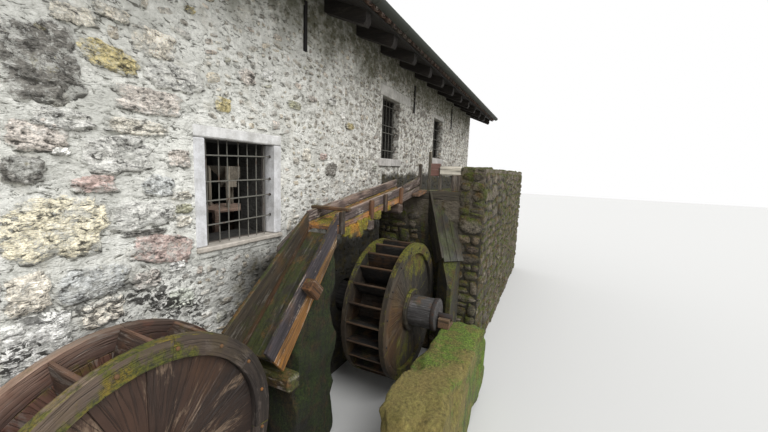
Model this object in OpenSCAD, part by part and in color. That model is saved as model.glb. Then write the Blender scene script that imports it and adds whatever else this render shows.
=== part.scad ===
/* [House] */
// Length of the stone house along the wheel wall
house_l = 16000; // [15500:100:18000]
// Depth of the stone house from the wheel wall to the back wall
house_d = 6400; // [6000:100:8000]
// Height of the wheel wall from its footing to the underside of the rafters
wall_h = 5850; // [5800:50:6400]
// Thickness of the stone walls
wall_t = 600; // [500:20:700]
// Height of the mill floor above the footing
floor_h = 1800; // [1780:10:1900]
// Thickness of the mill floor
floor_t = 90; // [60:5:100]

/* [Roof] */
// Pitch of the roof in degrees
roof_pitch = 22; // [20:1:26]
// How far the rafter ends stand out from the walls
eave_out = 700; // [600:20:800]
// How far the roof stands out past the gables
verge_out = 650; // [500:10:700]
// Width of a rafter
rafter_w = 150; // [120:5:180]
// Depth of a rafter
rafter_t = 190; // [150:5:220]
// Distance between rafters
rafter_pitch = 930; // [850:10:1000]
// Thickness of the roof boards
board_t = 28; // [20:1:35]
// Thickness of the clay tile covering
tile_t = 95; // [80:5:110]
// Outside radius of the half round gutters
gutter_r = 80; // [70:1:90]

/* [Windows] */
// Distance of the first window from the near gable
window_1_x = 4100; // [4050:10:4200]
// Height of the first window's sill above the footing
window_1_z = 2740; // [2700:10:2800]
// Width of the first window's opening
window_1_w = 970; // [900:10:1000]
// Height of the first window's opening
window_1_h = 1120; // [1000:10:1200]
// Width of the cut stones round the first window
frame_w = 125; // [100:5:140]
// Depth of the cut stones in the wall
frame_t = 220; // [180:10:260]
// Distance of the second window from the near gable
window_2_x = 8100; // [8000:10:8200]
// Height of the second window's sill above the footing
window_2_z = 3850; // [3800:10:3900]
// Width of the second window's opening
window_2_w = 860; // [800:10:900]
// Height of the second window's opening
window_2_h = 1250; // [1200:10:1300]
// Distance of the third window from the near gable
window_3_x = 11420; // [11300:10:11600]
// Height of the third window's sill above the footing
window_3_z = 4020; // [3980:10:4060]
// Width of the third window's opening
window_3_w = 880; // [820:10:900]
// Height of the third window's opening
window_3_h = 1130; // [1050:10:1150]

/* [Wheels] */
// Outside radius of both wheels
wheel_r = 1100; // [1050:10:1120]
// Radial width of the timber rims
rim_w = 170; // [140:5:200]
// Thickness of the timber rims
rim_t = 80; // [60:2:90]
// Thickness of the boards that close the wheel sides
side_t = 30; // [24:1:36]
// Radius of the board drum that the buckets stand on
drum_r = 700; // [660:10:740]
// Thickness of the bucket boards
bucket_t = 28; // [22:1:34]
// Distance of the first wheel's axle from the near gable
wheel_1_x = 3000; // [2950:10:3050]
// Height of the first wheel's axle above the footing
wheel_1_z = 1260; // [1240:5:1300]
// Gap between the wall and the first wheel
wheel_1_gap = 300; // [250:10:340]
// Width of the first wheel
wheel_1_w = 550; // [520:10:580]
// Number of buckets round the first wheel
wheel_1_buckets = 16; // [14:1:18]
// Distance of the second wheel's axle from the near gable
wheel_2_x = 6830; // [6780:10:6900]
// Height of the second wheel's axle above the footing
wheel_2_z = 1350; // [1320:5:1370]
// Gap between the wall and the second wheel
wheel_2_gap = 630; // [600:10:660]
// Width of the second wheel
wheel_2_w = 690; // [660:10:720]
// Number of buckets round the second wheel
wheel_2_buckets = 24; // [20:1:26]

/* [Shafts] */
// Radius of the log shafts
shaft_r = 250; // [220:5:260]
// Length of the log shaft outside its wheel
shaft_out = 440; // [400:10:480]
// Radius of the iron gudgeons in the shaft ends
gudgeon_r = 50; // [40:1:60]
// Length of the gudgeons outside the log
gudgeon_l = 230; // [220:5:260]
// Thickness of the iron bands round the logs
band_t = 10; // [6:1:14]
// Radial play of the gudgeons in their bearings
bearing_play = 0.3; // [0.2:0.1:0.5]

/* [Flume] */
// Distance of the long trough's inner board from the wall
trough_gap = 310; // [300:10:340]
// Width of the long trough over its boards
trough_w = 500; // [480:10:520]
// Thickness of the trough and chute boards
plank_t = 50; // [40:2:60]
// Height of the long trough's side boards
trough_h = 260; // [240:10:280]
// Depth of the sluice's sill below the top of the headrace walls
sill_depth = 439; // [425:1:455]
// Slope of the long trough in degrees
trough_pitch = 8; // [7:0.5:9]
// Distance of the long trough's lower end from the near gable
trough_x = 5330; // [5310:10:5360]
// Distance of the sluice from the near gable
sluice_x = 8150; // [8120:10:8250]
// Slope of the steep chute in degrees
chute_pitch = 46; // [45:0.5:47]
// Height of the steep chute's side boards
chute_h = 260; // [240:10:280]
// Gap between the steep chute's foot and the first wheel
chute_foot_gap = 70; // [60:5:90]

/* [Headrace] */
// Height of the headrace walls above the footing
race_h = 3700; // [3680:10:3760]
// Inside width of the headrace
race_w = 1660; // [1620:10:1700]
// Thickness of the headrace's outer wall
race_t = 450; // [400:10:500]
// Depth of the headrace
race_depth = 620; // [580:10:660]

/* [Hidden] */

stone = "lightgray";
cut_stone = "gainsboro";
wet_wood = "dimgray";
old_wood = "saddlebrown";
iron = "darkslategray";
clay = "sienna";
green_stone = "darkolivegreen";

joint = 6;
seat = 0.3;
roof_rise = tan(roof_pitch);
slope_len = 1 / cos(roof_pitch);
ridge_y = house_d / 2;
rafter_v = rafter_t * slope_len;
board_v = board_t * slope_len;
tile_v = tile_t * slope_len;
eave_lap = 120;
gutter_reach = eave_out + eave_lap + 2 * gutter_r;
pier_t = 680;
pier_gap = 20;
wheel_2_outer_s = wheel_2_gap + wheel_2_w;
wheel_1_outer_s = wheel_1_gap + wheel_1_w;
shaft_2_end_s = wheel_2_outer_s + shaft_out;
shaft_1_end_s = wheel_1_outer_s + shaft_out;
front_reach = shaft_2_end_s + pier_gap + pier_t;
shaft_in = wall_t + 300;
bearing_l = 180;
bearing_w = 260;
bearing_h = 150;
bearing_slip = 30;
big = 20000;

// Puts the model's origin at the middle of its base
module place() {
    translate([-house_l / 2, (front_reach - house_d - gutter_reach) / 2, 0]) children();
}

// Extrudes an outline drawn in x and z outwards from the wheel wall, between two distances from it
module from_wall(s_in, s_out) {
    translate([0, -s_in, 0]) rotate([90, 0, 0]) linear_extrude(height = s_out - s_in) children();
}

// Extrudes an outline drawn in y and z along the wall
module along(x_from, x_to) {
    translate([x_from, 0, 0]) rotate([90, 0, 90]) linear_extrude(height = x_to - x_from) children();
}

// Block between two distances from the wheel wall
module block(x, s, z, w, t, h) {
    translate([x, -s - t, z]) cube([w, t, h]);
}

// Height of the rafters' underside over a point across the house
function roof_z(y) = wall_h + min(y, house_d - y) * roof_rise;

// Half of the house mirrored to the back
module to_back() {
    translate([0, house_d, 0]) mirror([0, 1, 0]) children();
}

// Stone wall under one slope, before its openings are cut
module long_wall() {
    along(0, house_l)
        polygon([[0, 0], [wall_t, 0], [wall_t, roof_z(wall_t) - seat], [0, wall_h - seat]]);
}

// Opening through a wall
module opening(x, z, w, h) {
    translate([x, -1, z]) cube([w, wall_t + 2, h]);
}

// Pocket in the wall's face for stones that stand round an opening
module pocket(x, z, w, h) {
    translate([x, -1, z]) cube([w, frame_t + 1, h]);
}

lintel_h = 220;
sill_h = 160;
lintel_in = 110;
sill_out = 40;

module window_1_cuts() {
    opening(window_1_x, window_1_z, window_1_w, window_1_h);
    pocket(window_1_x - frame_w, window_1_z - frame_w, window_1_w + 2 * frame_w, window_1_h + 2 * frame_w);
}

// Opening with a lintel stone above and a sill stone below
module plain_window_cuts(x, z, w, h, lintel_l, lintel_v, sill_v) {
    opening(x, z, w, h);
    pocket(x - lintel_in, z + h, lintel_l, lintel_v);
    pocket(x - lintel_in, z - sill_v, w + 2 * lintel_in, sill_v);
}

module plain_window_stones(x, z, w, h, lintel_l, lintel_v, sill_v) {
    translate([x - lintel_in, 0, z + h]) cube([lintel_l, frame_t, lintel_v]);
    translate([x - lintel_in, -sill_out, z - sill_v]) cube([w + 2 * lintel_in, frame_t + sill_out, sill_v]);
}

lintel_2_l = 1600;
lintel_3_l = window_3_w + 2 * lintel_in;
lintel_3_v = 120;
sill_3_v = 200;

function shaft_hole_r() = shaft_r + band_t + 35;

module shaft_hole(x, z) {
    translate([x, -1, z]) rotate([-90, 0, 0]) cylinder(r = shaft_hole_r(), h = wall_t + 2, $fn = 64);
}

module front_wall() {
    place() color(stone) difference() {
        long_wall();
        window_1_cuts();
        plain_window_cuts(window_2_x, window_2_z, window_2_w, window_2_h, lintel_2_l, lintel_h, sill_h);
        plain_window_cuts(window_3_x, window_3_z, window_3_w, window_3_h, lintel_3_l, lintel_3_v, sill_3_v);
        shaft_hole(wheel_1_x, wheel_1_z);
        shaft_hole(wheel_2_x, wheel_2_z);
    }
}

// The back windows repeat the two plain windows of the wheel wall
back_drop = 500;
back_step = 3320;
back_end = 2400;
back_window_z = window_2_z - back_drop;
back_window_xs = [window_1_x, window_2_x + back_step, house_l - back_end];
door_w = 1100;
door_h = 2100;
door_t = 60;
door_shift = 500;
door_x = window_2_x - door_shift;

module back_wall() {
    place() color(stone) to_back() difference() {
        long_wall();
        for (x = back_window_xs)
            plain_window_cuts(x, back_window_z, window_2_w, window_2_h, lintel_3_l, lintel_h, sill_h);
        opening(door_x, floor_h, door_w, door_h);
    }
}

module back_window_stones() {
    place() color(cut_stone) to_back()
        for (x = back_window_xs)
            plain_window_stones(x, back_window_z, window_2_w, window_2_h, lintel_3_l, lintel_h, sill_h);
}

module back_door() {
    place() color(old_wood) to_back()
        translate([door_x, frame_t, floor_h]) cube([door_w, door_t, door_h]);
}

// Gable between the long walls, carried up past the rafters to the roof boards
module gable_wall(x) {
    raised = wall_h + rafter_v - seat;
    along(x, x + wall_t)
        difference() {
            polygon([
                [wall_t, 0], [house_d - wall_t, 0], [house_d - wall_t, roof_z(wall_t)],
                [house_d, wall_h], [house_d, raised], [ridge_y, roof_z(ridge_y) + rafter_v - seat],
                [0, raised], [0, wall_h], [wall_t, roof_z(wall_t)]
            ]);
            ridge_notch();
        }
}

module gable_walls() {
    place() color(stone) {
        gable_wall(0);
        gable_wall(house_l - wall_t);
    }
}

module mill_floor() {
    place() color(old_wood)
        translate([wall_t, wall_t, floor_h - floor_t])
            cube([house_l - 2 * wall_t, house_d - 2 * wall_t, floor_t]);
}

// Cut stones round the first window: two jambs between a lintel and a sill
module framed_window_stones() {
    proud = 12;
    x = window_1_x;
    z = window_1_z;
    h = window_1_h;
    outer_w = window_1_w + 2 * frame_w;
    translate([x - frame_w, -proud, z + h + joint]) cube([outer_w, frame_t + proud, frame_w - joint]);
    translate([x - frame_w, -sill_out, z - frame_w]) cube([outer_w, frame_t + sill_out, frame_w - joint]);
    for (side = [x - frame_w, x + window_1_w])
        translate([side, -proud, z]) cube([frame_w, frame_t + proud, h]);
}

module front_window_stones() {
    place() color(cut_stone) {
        framed_window_stones();
        plain_window_stones(window_2_x, window_2_z, window_2_w, window_2_h, lintel_2_l, lintel_h, sill_h);
        plain_window_stones(window_3_x, window_3_z, window_3_w, window_3_h, lintel_3_l, lintel_3_v, sill_3_v);
    }
}

// Bench behind the first window and the grain hopper on it
bench_x = 5800;
bench_y = 2050;
bench_w = 1100;
bench_d = 900;
bench_h = 1000;
bench_t = 45;
leg_w = 80;

module mill_bench() {
    place() color(old_wood) translate([bench_x, bench_y, floor_h]) {
        translate([0, 0, bench_h - bench_t]) cube([bench_w, bench_d, bench_t]);
        for (x = [0, bench_w - leg_w], y = [0, bench_d - leg_w])
            translate([x, y, 0]) cube([leg_w, leg_w, bench_h - bench_t]);
    }
}

hopper_w = 560;
mouth_w = 180;
hopper_h = 270;
hopper_lift = 500;
hopper_t = 20;
shoe_h = 130;
shoe_out = 60;
hopper_post = 50;

module funnel_outline(top, bottom, z_low, z_high) {
    polygon([[-bottom, z_low], [bottom, z_low], [top, z_high], [-top, z_high]]);
}

// Solid with four sloping sides, between a wide top and a narrow bottom
module funnel(top_w, bottom_w, z_low, z_high) {
    intersection() {
        rotate([90, 0, 0]) linear_extrude(height = top_w, center = true)
            funnel_outline(top_w / 2, bottom_w / 2, z_low, z_high);
        rotate([90, 0, 90]) linear_extrude(height = top_w, center = true)
            funnel_outline(top_w / 2, bottom_w / 2, z_low, z_high);
    }
}

module grain_hopper() {
    post_at = hopper_w / 2 - hopper_post / 2;
    place() color(old_wood) translate([bench_x + 700, bench_y + 450, floor_h + bench_h]) {
        difference() {
            funnel(hopper_w, mouth_w, hopper_lift, hopper_lift + hopper_h);
            funnel(
                hopper_w - 2 * hopper_t, mouth_w - 2 * hopper_t,
                hopper_lift - 0.01, hopper_lift + hopper_h + 0.01
            );
        }
        translate([-mouth_w / 2, -mouth_w / 2, hopper_lift - shoe_h]) difference() {
            translate([-shoe_out, 0, 0]) cube([mouth_w + shoe_out, mouth_w, shoe_h]);
            translate([-shoe_out - 1, hopper_t, hopper_t])
                cube([mouth_w + shoe_out + 1 - hopper_t, mouth_w - 2 * hopper_t, shoe_h]);
        }
        for (x = [-post_at, post_at], y = [-post_at, post_at])
            translate([x - hopper_post / 2, y - hopper_post / 2, 0])
                cube([hopper_post, hopper_post, hopper_lift + hopper_h]);
    }
}

// Iron bars that hold the tie rods against the wall
anchor_w = 55;
anchor_t = 25;
anchor_l = 640;
anchor_places = [[5660, wall_h - 680], [9800, wall_h - 840], [13200, wall_h - 810]];

module wall_anchors() {
    place() color(iron)
        for (p = anchor_places)
            block(p[0] - anchor_w / 2, 0, p[1], anchor_w, anchor_t, anchor_l);
}

// Outline of one rafter, with its lower end rounded
nose_r = rafter_t * 0.55;

module rafter_outline() {
    tail_z = wall_h - eave_out * roof_rise;
    difference() {
        polygon([
            [-eave_out, tail_z], [ridge_y, roof_z(ridge_y)],
            [ridge_y, roof_z(ridge_y) + rafter_v], [-eave_out, tail_z + rafter_v]
        ]);
        difference() {
            translate([-eave_out - 1, tail_z - 1]) square([nose_r + 1, nose_r + 1]);
            translate([-eave_out + nose_r, tail_z + nose_r]) circle(r = nose_r, $fn = 48);
        }
    }
}

// One pair of rafters stands outside each gable, the others are shared out evenly between the gables
first_rafter = wall_t + rafter_w / 2 + seat;
last_rafter = house_l - first_rafter;
bays = round((last_rafter - first_rafter) / rafter_pitch);
bay = (last_rafter - first_rafter) / bays;
verge_rafter = 300;
rafter_xs = [
    -verge_rafter, for (i = [0:bays]) first_rafter + i * bay, house_l + verge_rafter
];

module rafter_row() {
    for (x = rafter_xs)
        along(x - rafter_w / 2, x + rafter_w / 2)
            difference() {
                rafter_outline();
                ridge_notch();
            }
}

ridge_w = 160;
ridge_h = 300;

module ridge_notch() {
    translate([ridge_y - ridge_w / 2, roof_z(ridge_y) - ridge_h]) square([ridge_w, ridge_h + 2 * rafter_v]);
}

module rafters() {
    place() color(wet_wood) {
        rafter_row();
        to_back() rafter_row();
    }
}

// Masonry on the wall heads between the rafters
module filling_row() {
    fill_t = wall_t / 2;
    side = rafter_w / 2 + seat;
    lift = rafter_v - seat;
    for (i = [0:bays - 1])
        along(first_rafter + i * bay + side, first_rafter + (i + 1) * bay - side)
            polygon([
                [0, wall_h], [fill_t, roof_z(fill_t)], [fill_t, roof_z(fill_t) + lift], [0, wall_h + lift]
            ]);
}

module beam_filling() {
    place() color(stone) {
        filling_row();
        to_back() filling_row();
    }
}

module ridge_beam() {
    place() color(wet_wood)
        along(-verge_out + 100, house_l + verge_out - 100)
            intersection() {
                ridge_notch();
                polygon([
                    [0, roof_z(0) + rafter_v], [ridge_y, roof_z(ridge_y) + rafter_v],
                    [house_d, roof_z(0) + rafter_v], [house_d, 0], [0, 0]
                ]);
            }
}

// Flat layer on the front slope, from a height above the rafters' underside
module slope_layer(lift, thick, out) {
    along(-verge_out, house_l + verge_out)
        polygon([
            [-out, wall_h - out * roof_rise + lift], [ridge_y, roof_z(ridge_y) + lift],
            [ridge_y, roof_z(ridge_y) + lift + thick], [-out, wall_h - out * roof_rise + lift + thick]
        ]);
}

module roof_boards() {
    place() color(wet_wood) {
        slope_layer(rafter_v, board_v, eave_out + eave_lap - 40);
        to_back() slope_layer(rafter_v, board_v, eave_out + eave_lap - 40);
    }
}

module roof_covering() {
    place() color(clay) {
        slope_layer(rafter_v + board_v, tile_v, eave_out + eave_lap);
        to_back() slope_layer(rafter_v + board_v, tile_v, eave_out + eave_lap);
    }
}

module ridge_tiles() {
    ridge_top = roof_z(ridge_y) + rafter_v + board_v + tile_v + seat;
    ridge_r = 130;
    place() color(clay)
        along(-verge_out, house_l + verge_out)
            difference() {
                translate([ridge_y, ridge_top - 60]) circle(r = ridge_r, $fn = 48);
                polygon([
                    [0, -ridge_y * roof_rise + ridge_top], [ridge_y, ridge_top],
                    [house_d, -ridge_y * roof_rise + ridge_top], [house_d, 0], [0, 0]
                ]);
            }
}

// Half round gutter hung in front of the tiles' lower edge
gutter_t = 6;

module gutter() {
    eave_z = wall_h - (eave_out + eave_lap) * roof_rise + rafter_v + board_v;
    along(-verge_out, house_l + verge_out)
        translate([-eave_out - eave_lap - gutter_r, eave_z + tile_v])
            difference() {
                circle(r = gutter_r, $fn = 48);
                circle(r = gutter_r - gutter_t, $fn = 48);
                translate([-gutter_r - 1, 0]) square([2 * gutter_r + 2, gutter_r + 1]);
            }
}

module gutters() {
    place() color(iron) {
        gutter();
        to_back() gutter();
    }
}

// The long trough runs down along the wall from the sluice
trough_l = sluice_x - trough_x;
trough_rise = tan(trough_pitch);
trough_in = trough_gap;
trough_out = trough_gap + trough_w;
water_depth = 170;
sill_z = race_h - sill_depth;
trough_z = sill_z + water_depth - trough_l * trough_rise;

function trough_top(x) = trough_z + (x - trough_x) * trough_rise;

function trough_under(x) = trough_top(x) - trough_h;

// Board with upright ends whose edges follow the trough's slope
module trough_strip(drop, h) {
    polygon([
        [trough_x, trough_top(trough_x) - drop], [sluice_x, trough_top(sluice_x) - drop],
        [sluice_x, trough_top(sluice_x) - drop - h], [trough_x, trough_top(trough_x) - drop - h]
    ]);
}

module trough_sides() {
    place() color(wet_wood) {
        from_wall(trough_in, trough_in + plank_t) trough_strip(0, trough_h);
        from_wall(trough_out - plank_t, trough_out) trough_strip(0, trough_h);
    }
}

module trough_floor() {
    place() color(wet_wood)
        from_wall(trough_in + plank_t, trough_out - plank_t) trough_strip(water_depth, plank_t);
}

// Upright battens outside the long trough, the tie over its lower end and the cheek outside the chute
corner_in = 20;
cleat_1 = 820;
cleat_2 = 1290;
cleat_3 = 1910;
cleat_xs = [trough_x + cleat_1, trough_x + cleat_2, trough_x + cleat_3];
cleat_w = 90;
cleat_t = 45;
tie_in = 170;
tie_x = trough_x + tie_in;
tie_w = 100;
tie_t = 60;
tie_notch = 25;
cheek_back = 690;
cheek_x = trough_x - cheek_back;
cheek_w = 180;
cheek_t = 150;
cheek_h = 260;
cheek_drop = 170;

module cleat(x, w, lift) {
    from_wall(trough_out, trough_out + cleat_t)
        polygon([
            [x, trough_top(x) - trough_h + seat], [x + w, trough_top(x + w) - trough_h + seat],
            [x + w, trough_top(x + w) + lift], [x, trough_top(x) + lift]
        ]);
}

// Tie over the trough's lower end, notched down between the side boards
module tie() {
    low = trough_top(tie_x) - tie_notch;
    block(tie_x, trough_in + plank_t, low, tie_w, trough_w - 2 * plank_t, tie_t);
    from_wall(trough_in - 60, trough_out + 40)
        polygon([
            [tie_x, trough_top(tie_x) + seat], [tie_x + tie_w, trough_top(tie_x + tie_w) + seat],
            [tie_x + tie_w, low + tie_t], [tie_x, low + tie_t]
        ]);
}

// Block that stiffens the chute's outer side
module cheek() {
    low = chute_top(cheek_x) - cheek_drop;
    shoulder = low + cheek_h * 0.6;
    from_wall(chute_out, chute_out + cheek_t)
        polygon([
            [cheek_x, low], [cheek_x + cheek_w, low], [cheek_x + cheek_w, shoulder],
            [cheek_x + cheek_w * 0.6, low + cheek_h], [cheek_x, shoulder]
        ]);
}

module flume_cleats() {
    place() color(old_wood) {
        cleat(trough_x + corner_in, cleat_w, 20);
        for (x = cleat_xs)
            cleat(x, cleat_w, 0);
        tie();
        cheek();
    }
}

// Board outside the trough's head, rising to the sluice
module trough_head_board() {
    x = cleat_xs[2] + cleat_w;
    place() color(wet_wood)
        from_wall(trough_out, trough_out + cleat_t)
            polygon([
                [x, trough_top(x) + 30], [sluice_x, trough_top(sluice_x) + 80],
                [sluice_x, trough_top(sluice_x) - trough_h + seat], [x, trough_top(x) - trough_h + seat]
            ]);
}

// Beams from the wall that the long trough and the chute's foot lie on
bearer_w = 160;
bearer_h = 180;
bearer_1 = 780;
bearer_2 = 1870;
bearer_xs = [trough_x + bearer_1, trough_x + bearer_2];
foot_back = 1010;
foot_bearer_x = trough_x - foot_back;

// The steep chute starts under the trough's lower end and stops short of the first wheel
chute_rise = tan(chute_pitch);
chute_out = trough_out;
chute_step = 20;
inner_rise = tan(chute_pitch - 6.5);
under_rise = chute_rise * 1.2;
foot_turn = 38;

function chute_top(x) = trough_z - chute_step + (x - trough_x) * chute_rise;
function chute_inner_top(x) = trough_z - chute_step + (x - trough_x) * inner_rise;
function chute_under(x) = chute_top(trough_x) - chute_h / cos(chute_pitch) + (x - trough_x) * under_rise;

// Cuts the chute's foot off square to its run, clear of the first wheel
module foot_cut() {
    difference() {
        children();
        translate([wheel_1_x, wheel_1_z]) rotate([0, 0, foot_turn])
            translate([-big / 2, -big / 2]) square([big / 2 + wheel_r + chute_foot_gap, big]);
    }
}

module chute_outer_side() {
    place() color(wet_wood) from_wall(chute_out - plank_t, chute_out)
        foot_cut() polygon([
            [wheel_1_x, chute_top(wheel_1_x)], [trough_x, chute_top(trough_x)],
            [trough_x, chute_under(trough_x)], [wheel_1_x, chute_under(wheel_1_x)]
        ]);
}

module chute_inner_side() {
    place() color(wet_wood) from_wall(trough_in, trough_in + plank_t)
        foot_cut() polygon([
            [wheel_1_x, chute_inner_top(wheel_1_x)], [trough_x, chute_inner_top(trough_x)],
            [trough_x, chute_under(trough_x)], [wheel_1_x, chute_under(wheel_1_x)]
        ]);
}

module chute_floor() {
    drop = water_depth / cos(chute_pitch);
    floor_v = plank_t / cos(chute_pitch);
    low = chute_top(wheel_1_x) - drop;
    high = chute_top(trough_x) - drop;
    place() color(wet_wood) from_wall(trough_in + plank_t, chute_out - plank_t)
        foot_cut() polygon([
            [wheel_1_x, low], [trough_x, high], [trough_x, high - floor_v], [wheel_1_x, low - floor_v]
        ]);
}

// Board that keeps the splash off the wall where the trough turns down into the chute
module splash_board() {
    x_low = trough_x - 520;
    x_high = tie_x;
    place() color(wet_wood)
        from_wall(trough_in - 30, trough_in)
            polygon([
                [x_low, chute_inner_top(x_low) - 120], [x_high, trough_top(x_high) - 200],
                [x_high, trough_top(x_high) + 10], [trough_x, trough_top(trough_x) + 60],
                [x_low, chute_inner_top(x_low) + 70]
            ]);
}

// Beams from the wall: two under the long trough and one under the chute's foot
module flume_bearers() {
    foot_w = 190;
    x_foot = foot_bearer_x;
    place() color(old_wood) {
        for (x = bearer_xs)
            from_wall(0, trough_out + cleat_t)
                polygon([
                    [x, trough_under(x) - bearer_h], [x + bearer_w, trough_under(x) - bearer_h],
                    [x + bearer_w, trough_under(x + bearer_w) - seat], [x, trough_under(x) - seat]
                ]);
        from_wall(0, chute_out + 100)
            polygon([
                [x_foot, chute_under(x_foot) - bearer_h], [x_foot + foot_w, chute_under(x_foot) - bearer_h],
                [x_foot + foot_w, chute_under(x_foot + foot_w) - seat], [x_foot, chute_under(x_foot) - seat]
            ]);
    }
}

// Rough masonry that carries the chute
module chute_pier() {
    x_left = foot_bearer_x + 300;
    x_right = trough_x + 30;
    place() color(green_stone)
        from_wall(0, chute_out - 60)
            polygon([
                [x_left, 0], [x_right, 0], [x_right, chute_under(trough_x) - 90],
                [trough_x, chute_under(trough_x) - seat], [x_left + 90, chute_under(x_left + 90) - seat],
                [x_left + 20, chute_under(x_left) - 160]
            ]);
}

// The sluice stands across the end of the headrace, with a gate in the middle bay
post_t = 80;
bed_z = race_h - race_depth;
feed_s = trough_out + 60;
feed_w = 140;
stile_w = 50;
gate_s = feed_s + feed_w + stile_w;
gate_bay = 170;
end_post_w = 180;
head_h = 170;
head_lift = 20;
gate_play = 6;
groove_play = 0.6;
gate_t = 40;
gate_h = 240;
gate_lift = 270;
groove = 15;

module sluice_post(s, w, top) {
    block(sluice_x, s, sill_z, post_t, w, top - sill_z);
}

module sluice_frame() {
    head_z = race_h + head_lift - head_h;
    place() color(old_wood) difference() {
        union() {
            block(sluice_x, 0, bed_z, post_t, race_w, sill_z - bed_z);
            sluice_post(trough_out, feed_s - trough_out, race_h + 50);
            sluice_post(gate_s - stile_w, stile_w, race_h + 290);
            sluice_post(gate_s + gate_bay, stile_w, race_h);
            sluice_post(race_w - end_post_w, end_post_w, race_h);
            block(sluice_x, gate_s + gate_bay, head_z, post_t, race_w - gate_s - gate_bay, head_h);
        }
        block(sluice_x + (post_t - gate_t) / 2 - groove_play, gate_s - groove - gate_play, sill_z,
              gate_t + 2 * groove_play, gate_bay + 2 * (groove + gate_play), big);
    }
}

module sluice_gate() {
    place() color("brown")
        block(
            sluice_x + (post_t - gate_t) / 2, gate_s - groove, sill_z + gate_lift,
            gate_t, gate_bay + 2 * groove, gate_h
        );
}

// Board that carries the water from the sluice on to the second wheel
module feed_board() {
    feed_l = 450;
    feed_fall = 60;
    top = sill_z - 10;
    place() color(wet_wood)
        from_wall(feed_s, feed_s + feed_w)
            polygon([
                [sluice_x, top], [sluice_x, top - plank_t],
                [sluice_x - feed_l, top - feed_fall - plank_t], [sluice_x - feed_l, top - feed_fall]
            ]);
}

// The spillway leaves the sluice at a turn away from the wall and falls steeply
spill_turn = 42;
spill_pitch = 59;
spill_l = 1400;
spill_w = 400;
spill_side_h = 335;
spill_board_lift = 10;
spill_drop = 60;

module spill_place() {
    intersection() {
        translate([sluice_x, -gate_s, 0]) rotate([0, 0, spill_turn]) children();
        translate([sluice_x - big, -big, 0]) cube([big, big, big]);
    }
}

// Board that follows the spillway's slope and is cut off square, at a height above the sill
module spill_strip(lift, h) {
    translate([0, sill_z + lift]) rotate(spill_pitch) translate([-spill_l, -h]) square([2 * spill_l, h]);
}

module spillway_side() {
    place() color(wet_wood) spill_place() from_wall(0, plank_t) spill_strip(spill_board_lift, spill_side_h);
}

module spillway_floor() {
    place() color(wet_wood)
        spill_place() from_wall(plank_t, plank_t + spill_w) spill_strip(-spill_drop, plank_t);
}

module headrace_wall() {
    place() color(green_stone)
        block(sluice_x, race_w, 0, house_l - sluice_x, race_t, race_h);
}

// Masonry slope under the spillway, clear of the second wheel
module spill_apron() {
    apron_l = 620;
    apron_gap = 100;
    apron_s = wheel_2_outer_s + apron_gap;
    rise = tan(spill_pitch);
    top = sill_z - spill_drop - plank_t / cos(spill_pitch) - seat;
    intersection() {
        spill_place() from_wall(plank_t, 2 * spill_l)
            polygon([
                [spill_l, top + spill_l * rise], [spill_l, 0], [-spill_l, 0], [-spill_l, top - spill_l * rise]
            ]);
        block(sluice_x - apron_l, apron_s, 0, apron_l, race_w + apron_gap - apron_s, big);
    }
}

module headrace_bed() {
    place() color(green_stone) {
        block(sluice_x, 0, 0, house_l - sluice_x, race_w, bed_z);
        spill_apron();
    }
}

// Masonry piers under the bearings: two in the stream and two inside the house
inner_pier_w = 600;
inner_pier_t = bearing_l + 60;
pier_1_w = 800;
pier_1_t = 500;
pier_2_w = 2800;
pier_2_near = 2300;

module inner_pier(x, z) {
    from_y = shaft_in + pier_gap;
    block(x - inner_pier_w / 2, -from_y - inner_pier_t, 0, inner_pier_w, inner_pier_t, z - bearing_h);
    block(x - inner_pier_w / 2, -from_y, 0, inner_pier_w, from_y - wall_t, z - shaft_hole_r() - 60);
}

module bearing_piers() {
    place() color(green_stone) {
        block(
            wheel_1_x - pier_1_w / 2, shaft_1_end_s + pier_gap, 0,
            pier_1_w, pier_1_t, wheel_1_z - bearing_h
        );
        block(wheel_2_x - pier_2_near, shaft_2_end_s + pier_gap, 0, pier_2_w, pier_t, wheel_2_z - bearing_h);
        inner_pier(wheel_1_x, wheel_1_z);
        inner_pier(wheel_2_x, wheel_2_z);
    }
}

// Timber block with a half round seat for a gudgeon
module bearing(x, s, z) {
    difference() {
        block(x - bearing_w / 2, s, z - bearing_h, bearing_w, bearing_l, bearing_h);
        translate([x, -s + 1, z]) rotate([90, 0, 0])
            cylinder(r = gudgeon_r + bearing_play, h = bearing_l + 2, $fn = 64);
    }
}

module bearings() {
    place() color(old_wood) {
        bearing(wheel_1_x, shaft_1_end_s + bearing_slip, wheel_1_z);
        bearing(wheel_2_x, shaft_2_end_s + bearing_slip, wheel_2_z);
        bearing(wheel_1_x, -shaft_in - bearing_slip - bearing_l, wheel_1_z);
        bearing(wheel_2_x, -shaft_in - bearing_slip - bearing_l, wheel_2_z);
    }
}

// Puts the children at an axle, with the axle along the y axis and z as the distance from the wall
module at_axle(x, z, s) {
    place() translate([x, -s, z]) rotate([90, 0, 0]) children();
}

module ring(r_out, r_in, t) {
    difference() {
        cylinder(r = r_out, h = t, $fn = 128);
        translate([0, 0, -1]) cylinder(r = r_in, h = t + 2, $fn = 128);
    }
}

// Wheel side: a thick timber rim with boards let into it and, on the outside, a ring round the shaft
hub_w = 90;
hub_t = 60;

module wheel_side(outside) {
    rebate = outside ? 0 : rim_t - side_t;
    color(wet_wood) {
        ring(wheel_r, wheel_r - rim_w, rim_t);
        translate([0, 0, rebate]) ring(wheel_r - rim_w, shaft_r, side_t);
        if (outside)
            translate([0, 0, side_t]) ring(shaft_r + hub_w, shaft_r, hub_t);
    }
}

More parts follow.
